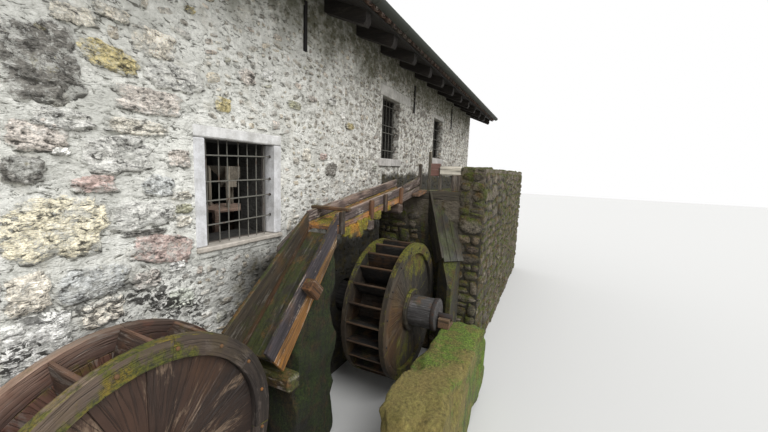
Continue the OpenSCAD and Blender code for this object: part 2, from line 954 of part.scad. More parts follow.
// Bucket board: a short foot on the drum and a longer board slanting out to the rim
module bucket_outline() {
    elbow_r = drum_r + (wheel_r - drum_r) * 0.45;
    lean = 60;
    union() {
        polygon([[0, drum_r], [bucket_t, drum_r], [bucket_t, elbow_r], [0, elbow_r]]);
        polygon([[0, elbow_r], [bucket_t, elbow_r], [lean + bucket_t, wheel_r - 8], [lean, wheel_r - 8]]);
    }
}

module bucket_boards(count, w) {
    color(old_wood)
        for (i = [0:count - 1])
            rotate([0, 0, i * 360 / count])
                linear_extrude(height = w) bucket_outline();
}

module drum(w) {
    color(old_wood) ring(drum_r, drum_r - 32, w);
}

module log_shaft(l) {
    color(wet_wood) {
        cylinder(r = shaft_r, h = l, $fn = 96);
        translate([0, 0, -gudgeon_l]) cylinder(r = gudgeon_r, h = gudgeon_l, $fn = 64);
        translate([0, 0, l]) cylinder(r = gudgeon_r, h = gudgeon_l, $fn = 64);
    }
}

module shaft_bands(from, l) {
    band_w = 60;
    color(iron)
        for (z = [10, from - band_w - 20, l - 70])
            translate([0, 0, z]) ring(shaft_r + band_t, shaft_r, band_w);
}

module wheel_1_outer_side() {
    at_axle(wheel_1_x, wheel_1_z, wheel_1_outer_s - rim_t) wheel_side(true);
}

module wheel_1_inner_side() {
    at_axle(wheel_1_x, wheel_1_z, wheel_1_gap) wheel_side(false);
}

module wheel_1_bucket_boards() {
    at_axle(wheel_1_x, wheel_1_z, wheel_1_gap + rim_t) bucket_boards(wheel_1_buckets, wheel_1_w - 2 * rim_t);
}

module wheel_1_drum() {
    at_axle(wheel_1_x, wheel_1_z, wheel_1_gap + rim_t) drum(wheel_1_w - 2 * rim_t);
}

module wheel_1_shaft() {
    at_axle(wheel_1_x, wheel_1_z, -shaft_in) log_shaft(shaft_in + shaft_1_end_s);
}

module wheel_1_bands() {
    at_axle(wheel_1_x, wheel_1_z, -shaft_in) shaft_bands(shaft_in + wheel_1_gap, shaft_in + shaft_1_end_s);
}

module wheel_2_outer_side() {
    at_axle(wheel_2_x, wheel_2_z, wheel_2_outer_s - rim_t) wheel_side(true);
}

module wheel_2_inner_side() {
    at_axle(wheel_2_x, wheel_2_z, wheel_2_gap) wheel_side(false);
}

module wheel_2_bucket_boards() {
    at_axle(wheel_2_x, wheel_2_z, wheel_2_gap + rim_t) bucket_boards(wheel_2_buckets, wheel_2_w - 2 * rim_t);
}

module wheel_2_drum() {
    at_axle(wheel_2_x, wheel_2_z, wheel_2_gap + rim_t) drum(wheel_2_w - 2 * rim_t);
}

module wheel_2_shaft() {
    at_axle(wheel_2_x, wheel_2_z, -shaft_in) log_shaft(shaft_in + shaft_2_end_s);
}

module wheel_2_bands() {
    at_axle(wheel_2_x, wheel_2_z, -shaft_in) shaft_bands(shaft_in + wheel_2_gap, shaft_in + shaft_2_end_s);
}

front_wall();
back_wall();
gable_walls();
beam_filling();
mill_floor();
back_door();
front_window_stones();
back_window_stones();
wall_anchors();
mill_bench();
grain_hopper();
rafters();
ridge_beam();
roof_boards();
roof_covering();
ridge_tiles();
gutters();
trough_sides();
trough_floor();
flume_cleats();
trough_head_board();
flume_bearers();
chute_outer_side();
chute_inner_side();
chute_floor();
splash_board();
chute_pier();
sluice_frame();
sluice_gate();
feed_board();
spillway_side();
spillway_floor();
headrace_wall();
headrace_bed();
bearing_piers();
bearings();
wheel_1_outer_side();
wheel_1_inner_side();
wheel_1_bucket_boards();
wheel_1_drum();
wheel_1_shaft();
wheel_1_bands();
wheel_2_outer_side();
wheel_2_inner_side();
wheel_2_bucket_boards();
wheel_2_drum();
wheel_2_shaft();
wheel_2_bands();
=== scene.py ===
"""Looks of the stone watermill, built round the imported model."""
import logging
import math
import random
from dataclasses import dataclass, field
from enum import Enum
from functools import cache, cached_property
from typing import Any, Callable, Iterable, Optional, Sequence, Union

import bmesh
import bpy
from mathutils import Matrix, Vector, noise


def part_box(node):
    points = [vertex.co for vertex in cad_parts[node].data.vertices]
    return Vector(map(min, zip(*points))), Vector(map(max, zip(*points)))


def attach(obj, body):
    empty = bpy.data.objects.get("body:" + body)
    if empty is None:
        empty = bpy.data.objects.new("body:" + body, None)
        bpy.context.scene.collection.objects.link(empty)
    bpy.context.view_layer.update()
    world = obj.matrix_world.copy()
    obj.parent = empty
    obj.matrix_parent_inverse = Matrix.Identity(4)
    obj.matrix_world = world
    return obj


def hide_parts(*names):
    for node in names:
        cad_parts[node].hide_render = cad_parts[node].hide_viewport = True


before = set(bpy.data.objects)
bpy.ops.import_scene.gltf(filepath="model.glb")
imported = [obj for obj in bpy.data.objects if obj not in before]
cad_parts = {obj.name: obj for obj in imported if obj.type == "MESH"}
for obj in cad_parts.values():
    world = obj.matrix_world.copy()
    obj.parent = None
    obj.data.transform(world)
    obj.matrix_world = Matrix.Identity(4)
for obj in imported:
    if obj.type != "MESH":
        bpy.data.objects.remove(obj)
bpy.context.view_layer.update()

log = logging.getLogger("watermill")
Triple = tuple[float, float, float]
Colour = Triple
Rect = tuple[float, float, float, float]
Shape = bmesh.types.BMesh
Place = Union[Matrix, Callable[[Vector], Vector]]
Tone = Union[tuple[float, ...], Callable[[Vector], tuple[float, ...]]]
WALL_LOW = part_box("front_wall")[0]
LENGTH, DEPTH, HEIGHT = 16.0, 6.4, 5.85
HALF_DEPTH = DEPTH / 2
RIDGE_Y = WALL_LOW.y + HALF_DEPTH
ROOF_PITCH = math.radians(22.0)
ROOF_RISE = math.tan(ROOF_PITCH)
RACE_X, RACE_BED = 8.15, 3.08
AXLES = ((3.0, 1.26), (6.83, 1.35))
FIRST_WINDOW: Rect = (4.10, 2.74, 0.97, 1.12)
BACK_DOOR: Rect = (7.6, 1.8, 1.1, 2.1)
OUT = Vector((0.0, -1.0, 0.0))
UP = Vector((0.0, 0.0, 1.0))
AHEAD = Vector((1.0, 0.0, 0.0))
WHOLE_TURN = 2 * math.pi
NOISE_SEED = 7
PLAIN: Colour = (1.0, 1.0, 1.0)


def at(x: float, s: float, z: float) -> Vector:
    """Gives a point of the frame from places measured on the wheel wall.

    Args:
        x: distance from the near gable along the wall.
        s: distance outwards from the wall's face.
        z: height above the footing.

    Returns:
        The point in the shared frame.
    """
    return Vector((WALL_LOW.x + x, WALL_LOW.y - s, z))


class Sig:
    """Socket of a shader that takes part in Python expressions."""

    def __init__(self, tree: "Tree", socket: bpy.types.NodeSocket) -> None:
        """Keeps the socket and the tree it belongs to."""
        self.tree = tree
        self.socket = socket

    def _math(self, operation: str, a: "Value", b: "Value", clamp: bool = False) -> "Sig":
        """Adds a Math node on two values."""
        settings = {"operation": operation, "use_clamp": clamp}
        return self.tree.node("ShaderNodeMath", settings, {0: a, 1: b})

    def __add__(self, other: "Value") -> "Sig":
        """Sum of two values."""
        return self._math("ADD", self, other)

    __radd__ = __add__

    def __sub__(self, other: "Value") -> "Sig":
        """Difference of two values."""
        return self._math("SUBTRACT", self, other)

    def __rsub__(self, other: "Value") -> "Sig":
        """Difference with the socket last."""
        return self._math("SUBTRACT", other, self)

    def __mul__(self, other: "Value") -> "Sig":
        """Product of two values."""
        return self._math("MULTIPLY", self, other)

    __rmul__ = __mul__

    def __abs__(self) -> "Sig":
        """Value without its sign."""
        return self.tree.node("ShaderNodeMath", {"operation": "ABSOLUTE"}, {0: self})

    def clamp(self) -> "Sig":
        """Value held between nought and one."""
        return self._math("ADD", self, 0.0, True)

    def over(self, low: float, high: float) -> "Sig":
        """Smooth step that rises from nought at low to one at high."""
        settings = {"interpolation_type": "SMOOTHSTEP", "clamp": True}
        sockets = {"Value": self, "From Min": low, "From Max": high}
        return self.tree.node("ShaderNodeMapRange", settings, sockets)

    def part(self, axis: str) -> "Sig":
        """One component of a vector."""
        return self.tree.node("ShaderNodeSeparateXYZ", {}, {0: self}, axis)

    def shade(self, value: "Sig") -> "Sig":
        """Colour made darker or lighter by a value."""
        return self.tree.shade(self, value)

    def coat(self, *coats: tuple["Value", "Value"]) -> "Sig":
        """Colour under coats, each given by how far it covers and its own colour."""
        colour = self
        for share, other in coats:
            colour = self.tree.mix(share, colour, other)
        return colour


Value = Union[Sig, float, tuple]


class Tree:
    """Node tree of one material, with the few node groups that the finishes share."""

    def __init__(self, name: str) -> None:
        """Starts a material of that name with its shader."""
        self.material = bpy.data.materials.new(name)
        self.material.use_nodes = True
        self.nodes = self.material.node_tree.nodes
        self.shader = self.nodes["Principled BSDF"]

    def node(self, kind: str, settings: dict[str, Any], inputs: dict[Any, Value],
             out: Any = 0) -> Sig:
        """Adds a node.

        Args:
            kind: type of the node.
            settings: its properties, set before its sockets.
            inputs: values or links of its sockets by name or number.
            out: name or number of the output that is wanted.

        Returns:
            The wanted output.
        """
        new = self.nodes.new(kind)
        for key, value in settings.items():
            setattr(new, key, value)
        for key, value in inputs.items():
            self.plug(new.inputs[key], value)
        return Sig(self, new.outputs[out])

    def plug(self, socket: bpy.types.NodeSocket, value: Value) -> None:
        """Links a socket to a value, or sets it to a constant."""
        if isinstance(value, Sig):
            self.material.node_tree.links.new(value.socket, socket)
        elif isinstance(value, tuple) and socket.type == "RGBA":
            socket.default_value = (*value, 1.0)
        else:
            socket.default_value = value

    @cached_property
    def place(self) -> Sig:
        """Object coordinates."""
        return self.node("ShaderNodeTexCoord", {}, {}, "Object")

    def attribute(self, name: str, out: str) -> Sig:
        """Attribute kept on the mesh."""
        return self.node("ShaderNodeAttribute", {"attribute_name": name}, {}, out)

    def stretch(self, vector: Sig, scale: Triple, turn: Triple = (0.0, 0.0, 0.0)) -> Sig:
        """Vector turned and scaled along its axes."""
        sockets = {"Vector": vector, "Scale": scale, "Rotation": turn}
        return self.node("ShaderNodeMapping", {}, sockets)

    def noise(self, scale: Union[float, Triple], detail: float = 4.0, rough: float = 0.6,
              bend: float = 0.0, on: Optional[Sig] = None) -> Sig:
        """Cloudy noise between nought and one.

        Args:
            scale: its scale, or one for each axis.
            detail: octaves of detail.
            rough: how much the finer octaves count.
            bend: how far it is bent by itself.
            on: vector that it is read on, or none for Object coordinates.

        Returns:
            The noise.
        """
        vector = on or self.place
        if isinstance(scale, tuple):
            vector, scale = self.stretch(vector, scale), 1.0
        sockets = {"Vector": vector, "Scale": scale, "Detail": detail, "Roughness": rough}
        return self.node("ShaderNodeTexNoise", {}, {**sockets, "Distortion": bend}, "Fac")

    def mix(self, factor: Value, a: Value, b: Value, blend: str = "MIX") -> Sig:
        """Mix of two colours."""
        settings = {"data_type": "RGBA", "blend_type": blend, "clamp_factor": True}
        return self.node("ShaderNodeMix", settings, {"Factor": factor, 6: a, 7: b}, 2)

    def shade(self, colour: Value, value: Sig) -> Sig:
        """Colour made darker or lighter by a value."""
        settings = {"operation": "SCALE"}
        return self.node("ShaderNodeVectorMath", settings, {0: colour, "Scale": value})

    def upward(self) -> Sig:
        """How far the surface faces up, from minus one to one."""
        return self.node("ShaderNodeNewGeometry", {}, {}, "Normal").part("Z")

    def finish(self, colour: Sig, rough: Value, height: Sig, depth: float,
               metal: float = 0.0) -> bpy.types.Material:
        """Links the shader.

        Args:
            colour: base colour.
            rough: roughness.
            height: height that the bump follows.
            depth: distance of the bump in metres.
            metal: metallic share.

        Returns:
            The finished material.
        """
        sockets = {"Strength": 1.0, "Distance": depth, "Height": height}
        bump = self.node("ShaderNodeBump", {}, sockets, "Normal")
        values = {"Base Color": colour, "Roughness": rough, "Normal": bump, "Metallic": metal}
        for key, value in values.items():
            self.plug(self.shader.inputs[key], value)
        return self.material


@dataclass(frozen=True)
class Moss:
    """Moss that grows on ledges and hangs in streaks, green and brown with dark hollows."""

    amount: float
    green: Colour = (0.13, 0.155, 0.02)
    brown: Colour = (0.12, 0.07, 0.022)
    deep: Colour = (0.022, 0.026, 0.009)
    ledge: float = 0.14
    scale: float = 3.1

    def over(self, tree: Tree, colour: Sig, more: Value = 0.0) -> Sig:
        """Lays the moss over a colour, with more of it where more is above nought."""
        cloud = tree.noise(self.scale, 6.0, 0.7)
        hang = tree.noise((6.0, 6.0, 1.1), 5.0, 0.7)
        reach = cloud * 0.55 + hang * 0.45 + tree.upward().over(-0.2, 0.8) * self.ledge + more
        patch = reach.over(0.66 - 0.26 * self.amount, 0.74 - 0.18 * self.amount)
        tone = tree.mix(tree.noise(4.3).over(0.46, 0.62), self.green, self.brown)
        tone = tone.coat((tree.noise(40.0, 5.0, 0.8).over(0.58, 0.36), self.deep))
        return colour.coat((patch * min(1.0, 0.45 + self.amount), tone))


@dataclass(frozen=True)
class Weather:
    """Stains and painted shade of the walls: streaks and painted shade under the eaves, damp at the
    foot, wet wall and painted shade behind the flume, painted shade inside the mill.
    """

    eaves_shade_z: float = 5.05
    foot_z: float = 1.6
    wet_shade_z: float = 3.0
    wet_shade_from: float = -3.7
    wet_shade_to: float = 0.9
    wall_y: float = -1.6
    stain: Colour = (0.098, 0.094, 0.050)
    damp: Colour = (0.15, 0.14, 0.10)
    # wet: colour of the wet wall behind the flume, darkened for painted shade too
    wet: Colour = (0.034, 0.031, 0.023)
    moss: Colour = (0.11, 0.085, 0.02)
    inside_shade: Colour = (0.018, 0.016, 0.013)
    dust: Colour = (0.36, 0.30, 0.235)
    mottle: Colour = (0.105, 0.083, 0.062)
    crust: Colour = (0.030, 0.028, 0.024)

    def over(self, tree: Tree, colour: Sig) -> Sig:
        """Lays the stains and the painted shade over a colour."""
        x, y, z = (tree.place.part(axis) for axis in "XYZ")
        cloud = tree.noise(1.3, 5.0, 0.65) - 0.5
        streak = tree.noise((5.0, 5.0, 0.7)) - 0.5
        ahead, front = x + cloud, y.over(self.wall_y, self.wall_y - 0.6)
        # high: streaks under the eaves along the roof line, stains and painted shade under the
        # overhang
        under = z + (abs(y - RIDGE_Y) - HALF_DEPTH) * ROOF_RISE
        high = (under + streak * 0.5 + cloud * 1.5).over(self.eaves_shade_z, self.eaves_shade_z + 0.60)
        high = high * (tree.noise(9.0, 3.0).over(0.60, 0.42) * 0.3 + 0.58)
        foot = (z + cloud * 1.6).over(self.foot_z, self.foot_z - 1.2)
        # wet wall behind the chute and the far wheel, painted nearly black: wet stone and painted
        # shade
        side = ahead.over(self.wet_shade_from - 0.5, self.wet_shade_from + 0.5) * front
        wet = (z + cloud * 0.9 + streak * 0.5).over(self.wet_shade_z, self.wet_shade_z - 0.75) * side
        wet = wet * ahead.over(self.wet_shade_to, self.wet_shade_to - 0.8)
        wet = wet + x.over(0.12, 0.20) * (z + streak * 0.3).over(3.60, 3.45) * front
        green = tree.noise(5.0, 5.0, 0.7).over(0.5, 0.64)
        far = (x + cloud * 2.0).over(-3.9, 1.3) * front
        mottle = tree.noise((10.0, 10.0, 13.0), 2.0, 0.55, 0.5).over(0.51, 0.43)
        near = front * ahead.over(-3.4, -4.2) * (z + cloud * 0.8).over(2.8, 2.3)
        crust = tree.noise((12.0, 12.0, 20.0), 3.0, 0.65, 0.9).over(0.505, 0.465)
        patch = tree.noise(3.3, 3.0).over(0.46, 0.56) * 0.75 + 0.25
        # painted shade: every surface inside the mill is painted nearly black
        inward = y + (tree.noise(6.0) - 0.5) * 0.12
        inside = inward.over(-2.35, -2.28) * inward.over(3.83, 3.76)
        inside = inside * x.over(-7.72, -7.66) * x.over(7.72, 7.66)
        return colour.coat(
            (far * 0.24, self.dust), (far * mottle * 0.66, self.mottle),
            (near * crust * patch * 0.95, self.crust), (high, self.stain),
            (foot * 0.6, self.damp), (wet * 0.95, self.wet),
            ((foot * 0.5 + wet) * green * 0.5, self.moss), (inside * 0.96, self.inside_shade))


@dataclass(frozen=True)
class Lime:
    """Lime mortar thrown over rubble: pale lumps, deeper hollows and dark pits, with painted shade
    where its bump is low.
    """

    pale: Colour = (0.97, 0.965, 0.91)
    deep: Colour = (0.52, 0.52, 0.475)
    pit_and_shade: Colour = (0.09, 0.088, 0.07)

    def flake(self, tree: Tree, detail: float) -> Sig:
        """Uneven beds that run level along the wall."""
        return tree.noise((12.0, 12.0, 25.0), detail, 0.76, 0.7)

    def colour(self, tree: Tree) -> Sig:
        """Colour of the mortar."""
        # flake also shapes the bump: its low parts are painted darker and pitted, real pits and
        # painted shade in the hollows
        flake = self.flake(tree, 4.0)
        lump = tree.noise(7.0, 7.0, 0.78).over(0.36, 0.60)
        grit = tree.noise(42.0, 2.0, 0.7).over(0.36, 0.60)
        body = lump * 0.42 + flake.over(0.38, 0.60) * 0.33 + grit * 0.30
        aged = (tree.place.part("X") + tree.noise(1.1, 3.0)).over(-3.5, -4.4)
        return tree.mix(body, self.deep, self.pale).coat(
            (tree.noise(2.3, 6.0, 0.7).over(0.52, 0.40) * 0.5, self.deep),
            (tree.noise(3.7).over(0.55, 0.7) * 0.3, (0.60, 0.54, 0.42)),
            (aged * 0.22, (0.42, 0.42, 0.38)), (flake.over(0.44, 0.37) * 0.85, self.pit_and_shade))

    def height(self, tree: Tree) -> Sig:
        """Height that the bump follows."""
        lumps = tree.noise(6.0, 3.0) + self.flake(tree, 3.0) * 0.6
        return lumps + tree.noise(60.0, 2.0) * 0.08


@dataclass(frozen=True)
class MortarFinish:
    """Rubble wall under its mortar."""

    name: str = "rubble_mortar"
    lime: Lime = Lime()
    cover: tuple[Union[Weather, Moss], ...] = (Weather(),)
    slot: str = "rubble_wall"

    def make(self) -> bpy.types.Material:
        """Builds the material."""
        tree = Tree(self.name)
        colour = self.lime.colour(tree)
        for layer in self.cover:
            colour = layer.over(tree, colour)
        return tree.finish(colour, 0.95, self.lime.height(tree), 0.045)


@dataclass(frozen=True)
class StoneFinish:
    """Natural stones, each in the tone kept on its mesh, whose rims fade into the mortar, with
    painted shade in their hollows and under them.
    """

    name: str = "rubble_stone"
    buried: float = 0.3
    pit_and_shade_amount: float = 0.88
    lime: Lime = Lime()
    cover: tuple[Union[Weather, Moss], ...] = (Weather(),)
    slot: str = "rubble_wall"

    def make(self) -> bpy.types.Material:
        """Builds the material."""
        tree = Tree(self.name)
        rim = tree.attribute("edge", "Fac")
        lime = self.lime.colour(tree)
        body = tree.noise(9.0, 4.0, 0.78).over(0.34, 0.64)
        grit = tree.noise(40.0, 2.0, 0.7).over(0.34, 0.62)
        ledge = tree.noise((9.0, 9.0, 22.0), 4.0, 0.74, 0.9)
        # ledge also shapes the bump: stones are painted lighter on its ridges and dark in its low
        # parts, pits and painted shade in the hollows
        level = body * 0.55 + grit * 0.65 + ledge.over(0.4, 0.6) * 0.45 + 0.18
        stone = tree.attribute("tone", "Color").shade(level).coat(
            (ledge.over(0.455, 0.38) * self.pit_and_shade_amount, (0.035, 0.032, 0.026)),
            (ledge.over(0.56, 0.66) * 0.6, self.lime.pale),
            (tree.noise(5.5, 6.0, 0.8).over(0.50, 0.60) * 0.7, lime),
            (tree.noise(7.0, 4.0, 0.7).over(0.64, 0.74) * 0.35, (0.42, 0.36, 0.13)))
        bare = rim + (tree.noise(10.0, 6.0, 0.8) - 0.5) * 3.2
        # painted shadow: flanks near a stone's rim that face downwards are painted dark
        underside_shade = tree.upward().over(-0.15, -0.6) * rim.over(0.95, 0.3) * body.over(0.75, 0.35)
        colour = lime.coat((bare.over(self.buried, self.buried + 0.5), stone),
                           (underside_shade * 0.8, (0.045, 0.041, 0.033)))
        for layer in self.cover:
            colour = layer.over(tree, colour)
        return tree.finish(colour, 0.93, self.lime.height(tree) + ledge * 0.7, 0.05)


@dataclass(frozen=True)
class MossFinish:
    """Thick moss over wet stone, in tufts and hanging strands, straw coloured near the camera."""

    name: str
    moss: Moss
    rock: Colour = (0.07, 0.062, 0.048)
    straw: Colour = (0.20, 0.155, 0.050)
    straw_to: float = -99.0
    slot: str = "mossy_stone"

    def make(self) -> bpy.types.Material:
        """Builds the material."""
        tree = Tree(self.name)
        rock = tree.shade(self.rock, tree.noise(9.0, 6.0, 0.75) * 1.5 + 0.25)
        strand = tree.noise((30.0, 30.0, 5.0), 5.0, 0.75)
        tuft = tree.noise(24.0, 6.0, 0.8)
        near = tree.place.part("X") + (tree.noise(2.2, 5.0, 0.7) - 0.5) * 5.0
        near = near + (tree.noise(9.0, 4.0, 0.7) - 0.5) * 2.6
        straw = near.over(self.straw_to + 0.5, self.straw_to - 0.4) * 0.85
        level = strand.over(0.3, 0.7) * 0.7 + tuft.over(0.3, 0.7) * 0.7 + 0.3
        colour = self.moss.over(tree, rock).coat((straw, self.straw)).shade(level)
        return tree.finish(colour, 0.95, strand * 0.5 + tuft * 0.7, 0.035)


@dataclass(frozen=True)
class CutStoneFinish:
    """Sawn stones round the windows, worn and stained by rain, with painted shade on their parts
    inside the wall.
    """

    name: str = "cut_stone"
    pale: Colour = (0.72, 0.72, 0.72)
    deep: Colour = (0.42, 0.415, 0.40)
    slot: str = "cut_stone"

    def make(self) -> bpy.types.Material:
        """Builds the material."""
        tree = Tree(self.name)
        broad = tree.noise(5.0, 6.0, 0.7)
        grit = tree.noise(75.0, 4.0, 0.8)
        runs = tree.noise((14.0, 14.0, 1.6))
        rust = tree.noise((9.0, 9.0, 3.0), 3.0).over(0.66, 0.8)
        colour = tree.mix(broad.over(0.28, 0.7), self.deep, self.pale)
        colour = tree.mix(0.6, colour, tree.attribute("tone", "Color"), "MULTIPLY")
        # painted shade: the stones' parts inside the wall are painted dark brown
        y = tree.place.part("Y") + (broad - 0.5) * 0.04
        colour = colour.shade(grit * 0.6 + runs * 0.5 + 0.62).coat(
            (rust * 0.3, (0.30, 0.22, 0.14)),
            (y.over(-2.34, -2.29) * y.over(1.0, 0.9) * 0.85, (0.075, 0.055, 0.042)))
        return tree.finish(colour, 0.85, broad * 0.6 + grit * 0.4, 0.010)


@dataclass(frozen=True)
class TimberFinish:
    """Weathered boards with their grain, cracks, moss and orange iron stains."""

    name: str
    pale: Colour
    deep: Colour
    moss: float = 0.0
    moss_colour: Colour = (0.12, 0.14, 0.02)
    stain: float = 0.0
    stain_colour: Colour = (0.26, 0.10, 0.025)
    wet: float = 0.0
    worn: float = 0.35
    axis: Optional[int] = None
    bleached: Colour = (0.30, 0.275, 0.235)
    cracks: float = 0.6
    patch: float = 9.0
    moss_scale: float = 3.1
    slot: str = "wet_timber"

    def grain(self, tree: Tree) -> Sig:
        """Coordinates with the first one along the grain."""
        if self.axis is None:
            return tree.attribute("grain", "Vector")
        quarter = math.pi / 2
        turn = ((0.0, 0.0, 0.0), (0.0, 0.0, quarter), (0.0, quarter, 0.0))[self.axis]
        return tree.stretch(tree.place, PLAIN, turn)

    def make(self) -> bpy.types.Material:
        """Builds the material."""
        tree = Tree(self.name)
        grain, built = self.grain(tree), self.axis is None
        fibre = tree.noise((1.5, 46.0, 46.0), 6.0, 0.65, 0.4, grain)
        rings = tree.noise((0.7, 13.0, 13.0), 3.0, 0.5, 0.8, grain)
        crack = tree.noise((1.1, 30.0, 30.0), 2.0, 0.4, 0.3, grain)
        hair = (1.0 - (crack - 0.5).over(0.0, 0.035)) * (crack - 0.46).over(0.0, 0.035)
        broad = tree.noise(3.1, 5.0, 0.65)
        grit = tree.noise(60.0, 4.0, 0.8)
        colour = tree.mix((fibre * 0.6 + rings * 0.4).over(0.28, 0.74), self.deep, self.pale)
        tone = tree.attribute("tone", "Color") if built else PLAIN
        colour = tree.mix(1.0, colour, tone, "MULTIPLY")
        across = self.patch
        streaks = tree.noise((across * 0.27, across, across), 6.0, 0.76, 0.5, grain)
        worn = (streaks + (fibre - 0.5) * 0.2).over(0.535, 0.63)
        colour = colour.coat((worn * self.worn, self.bleached)).shade(broad * 0.8 + 0.6)
        if self.stain > 0.0:
            where = tree.noise((2.6, 2.6, 1.7), 5.0, 0.65).over(0.50, 0.68)
            colour = colour.coat((where * self.stain, self.stain_colour))
        colour = colour.coat((hair * self.cracks, (0.010, 0.008, 0.006)))
        if self.moss > 0.0:
            more = tree.attribute("tone", "Alpha") - 1.0 if built else 0.0
            growth = Moss(self.moss, self.moss_colour, self.stain_colour, scale=self.moss_scale)
            colour = growth.over(tree, colour, more)
        rough = 0.88 - tree.noise(2.0, 3.0).over(0.4, 0.7) * 0.45 * self.wet
        height = fibre * 0.55 + rings * 0.35 + grit * 0.12 - hair * 0.9
        return tree.finish(colour, rough, height, 0.006)


@dataclass(frozen=True)
class MetalFinish:
    """Iron with rust, or old painted sheet."""

    name: str
    base: Colour
    rust: Colour = (0.13, 0.05, 0.02)
    amount: float = 0.5
    metal: float = 0.3
    slot: str = "rusty_iron"

    def make(self) -> bpy.types.Material:
        """Builds the material."""
        tree = Tree(self.name)
        cloud = tree.noise(11.0, 6.0, 0.7)
        grit = tree.noise(90.0, 4.0, 0.8)
        rusty = cloud.over(0.62 - 0.25 * self.amount, 0.74 - 0.15 * self.amount)
        colour = tree.mix(rusty, self.base, self.rust).shade(grit * 0.9 + 0.5)
        return tree.finish(colour, 0.75 + cloud * 0.2, cloud * 0.5 + grit * 0.5, 0.002, self.metal)


@dataclass(frozen=True)
class ClayFinish:
    """Old clay tiles, each in its own tone, with lichen and soot."""

    name: str = "clay_tile"
    slot: str = "clay_tiles"

    def make(self) -> bpy.types.Material:
        """Builds the material."""
        tree = Tree(self.name)
        broad = tree.noise(3.0, 5.0, 0.65)
        grit = tree.noise(60.0, 5.0, 0.75)
        lichen = tree.noise(18.0, 5.0, 0.7)
        level = broad * 0.7 + grit * 0.6 + 0.3
        colour = tree.attribute("tone", "Color").shade(level).coat(
            (lichen.over(0.58, 0.66) * 0.6, (0.29, 0.28, 0.22)),
            (1.0 - lichen.over(0.30, 0.42), (0.05, 0.045, 0.035)))
        return tree.finish(colour, 0.9, broad * 0.3 + grit * 0.4 + lichen * 0.3, 0.004)


WET_LIME = Lime((0.13, 0.11, 0.078), (0.042, 0.036, 0.026), (0.014, 0.012, 0.008))
WHEEL = "wheel_timber"


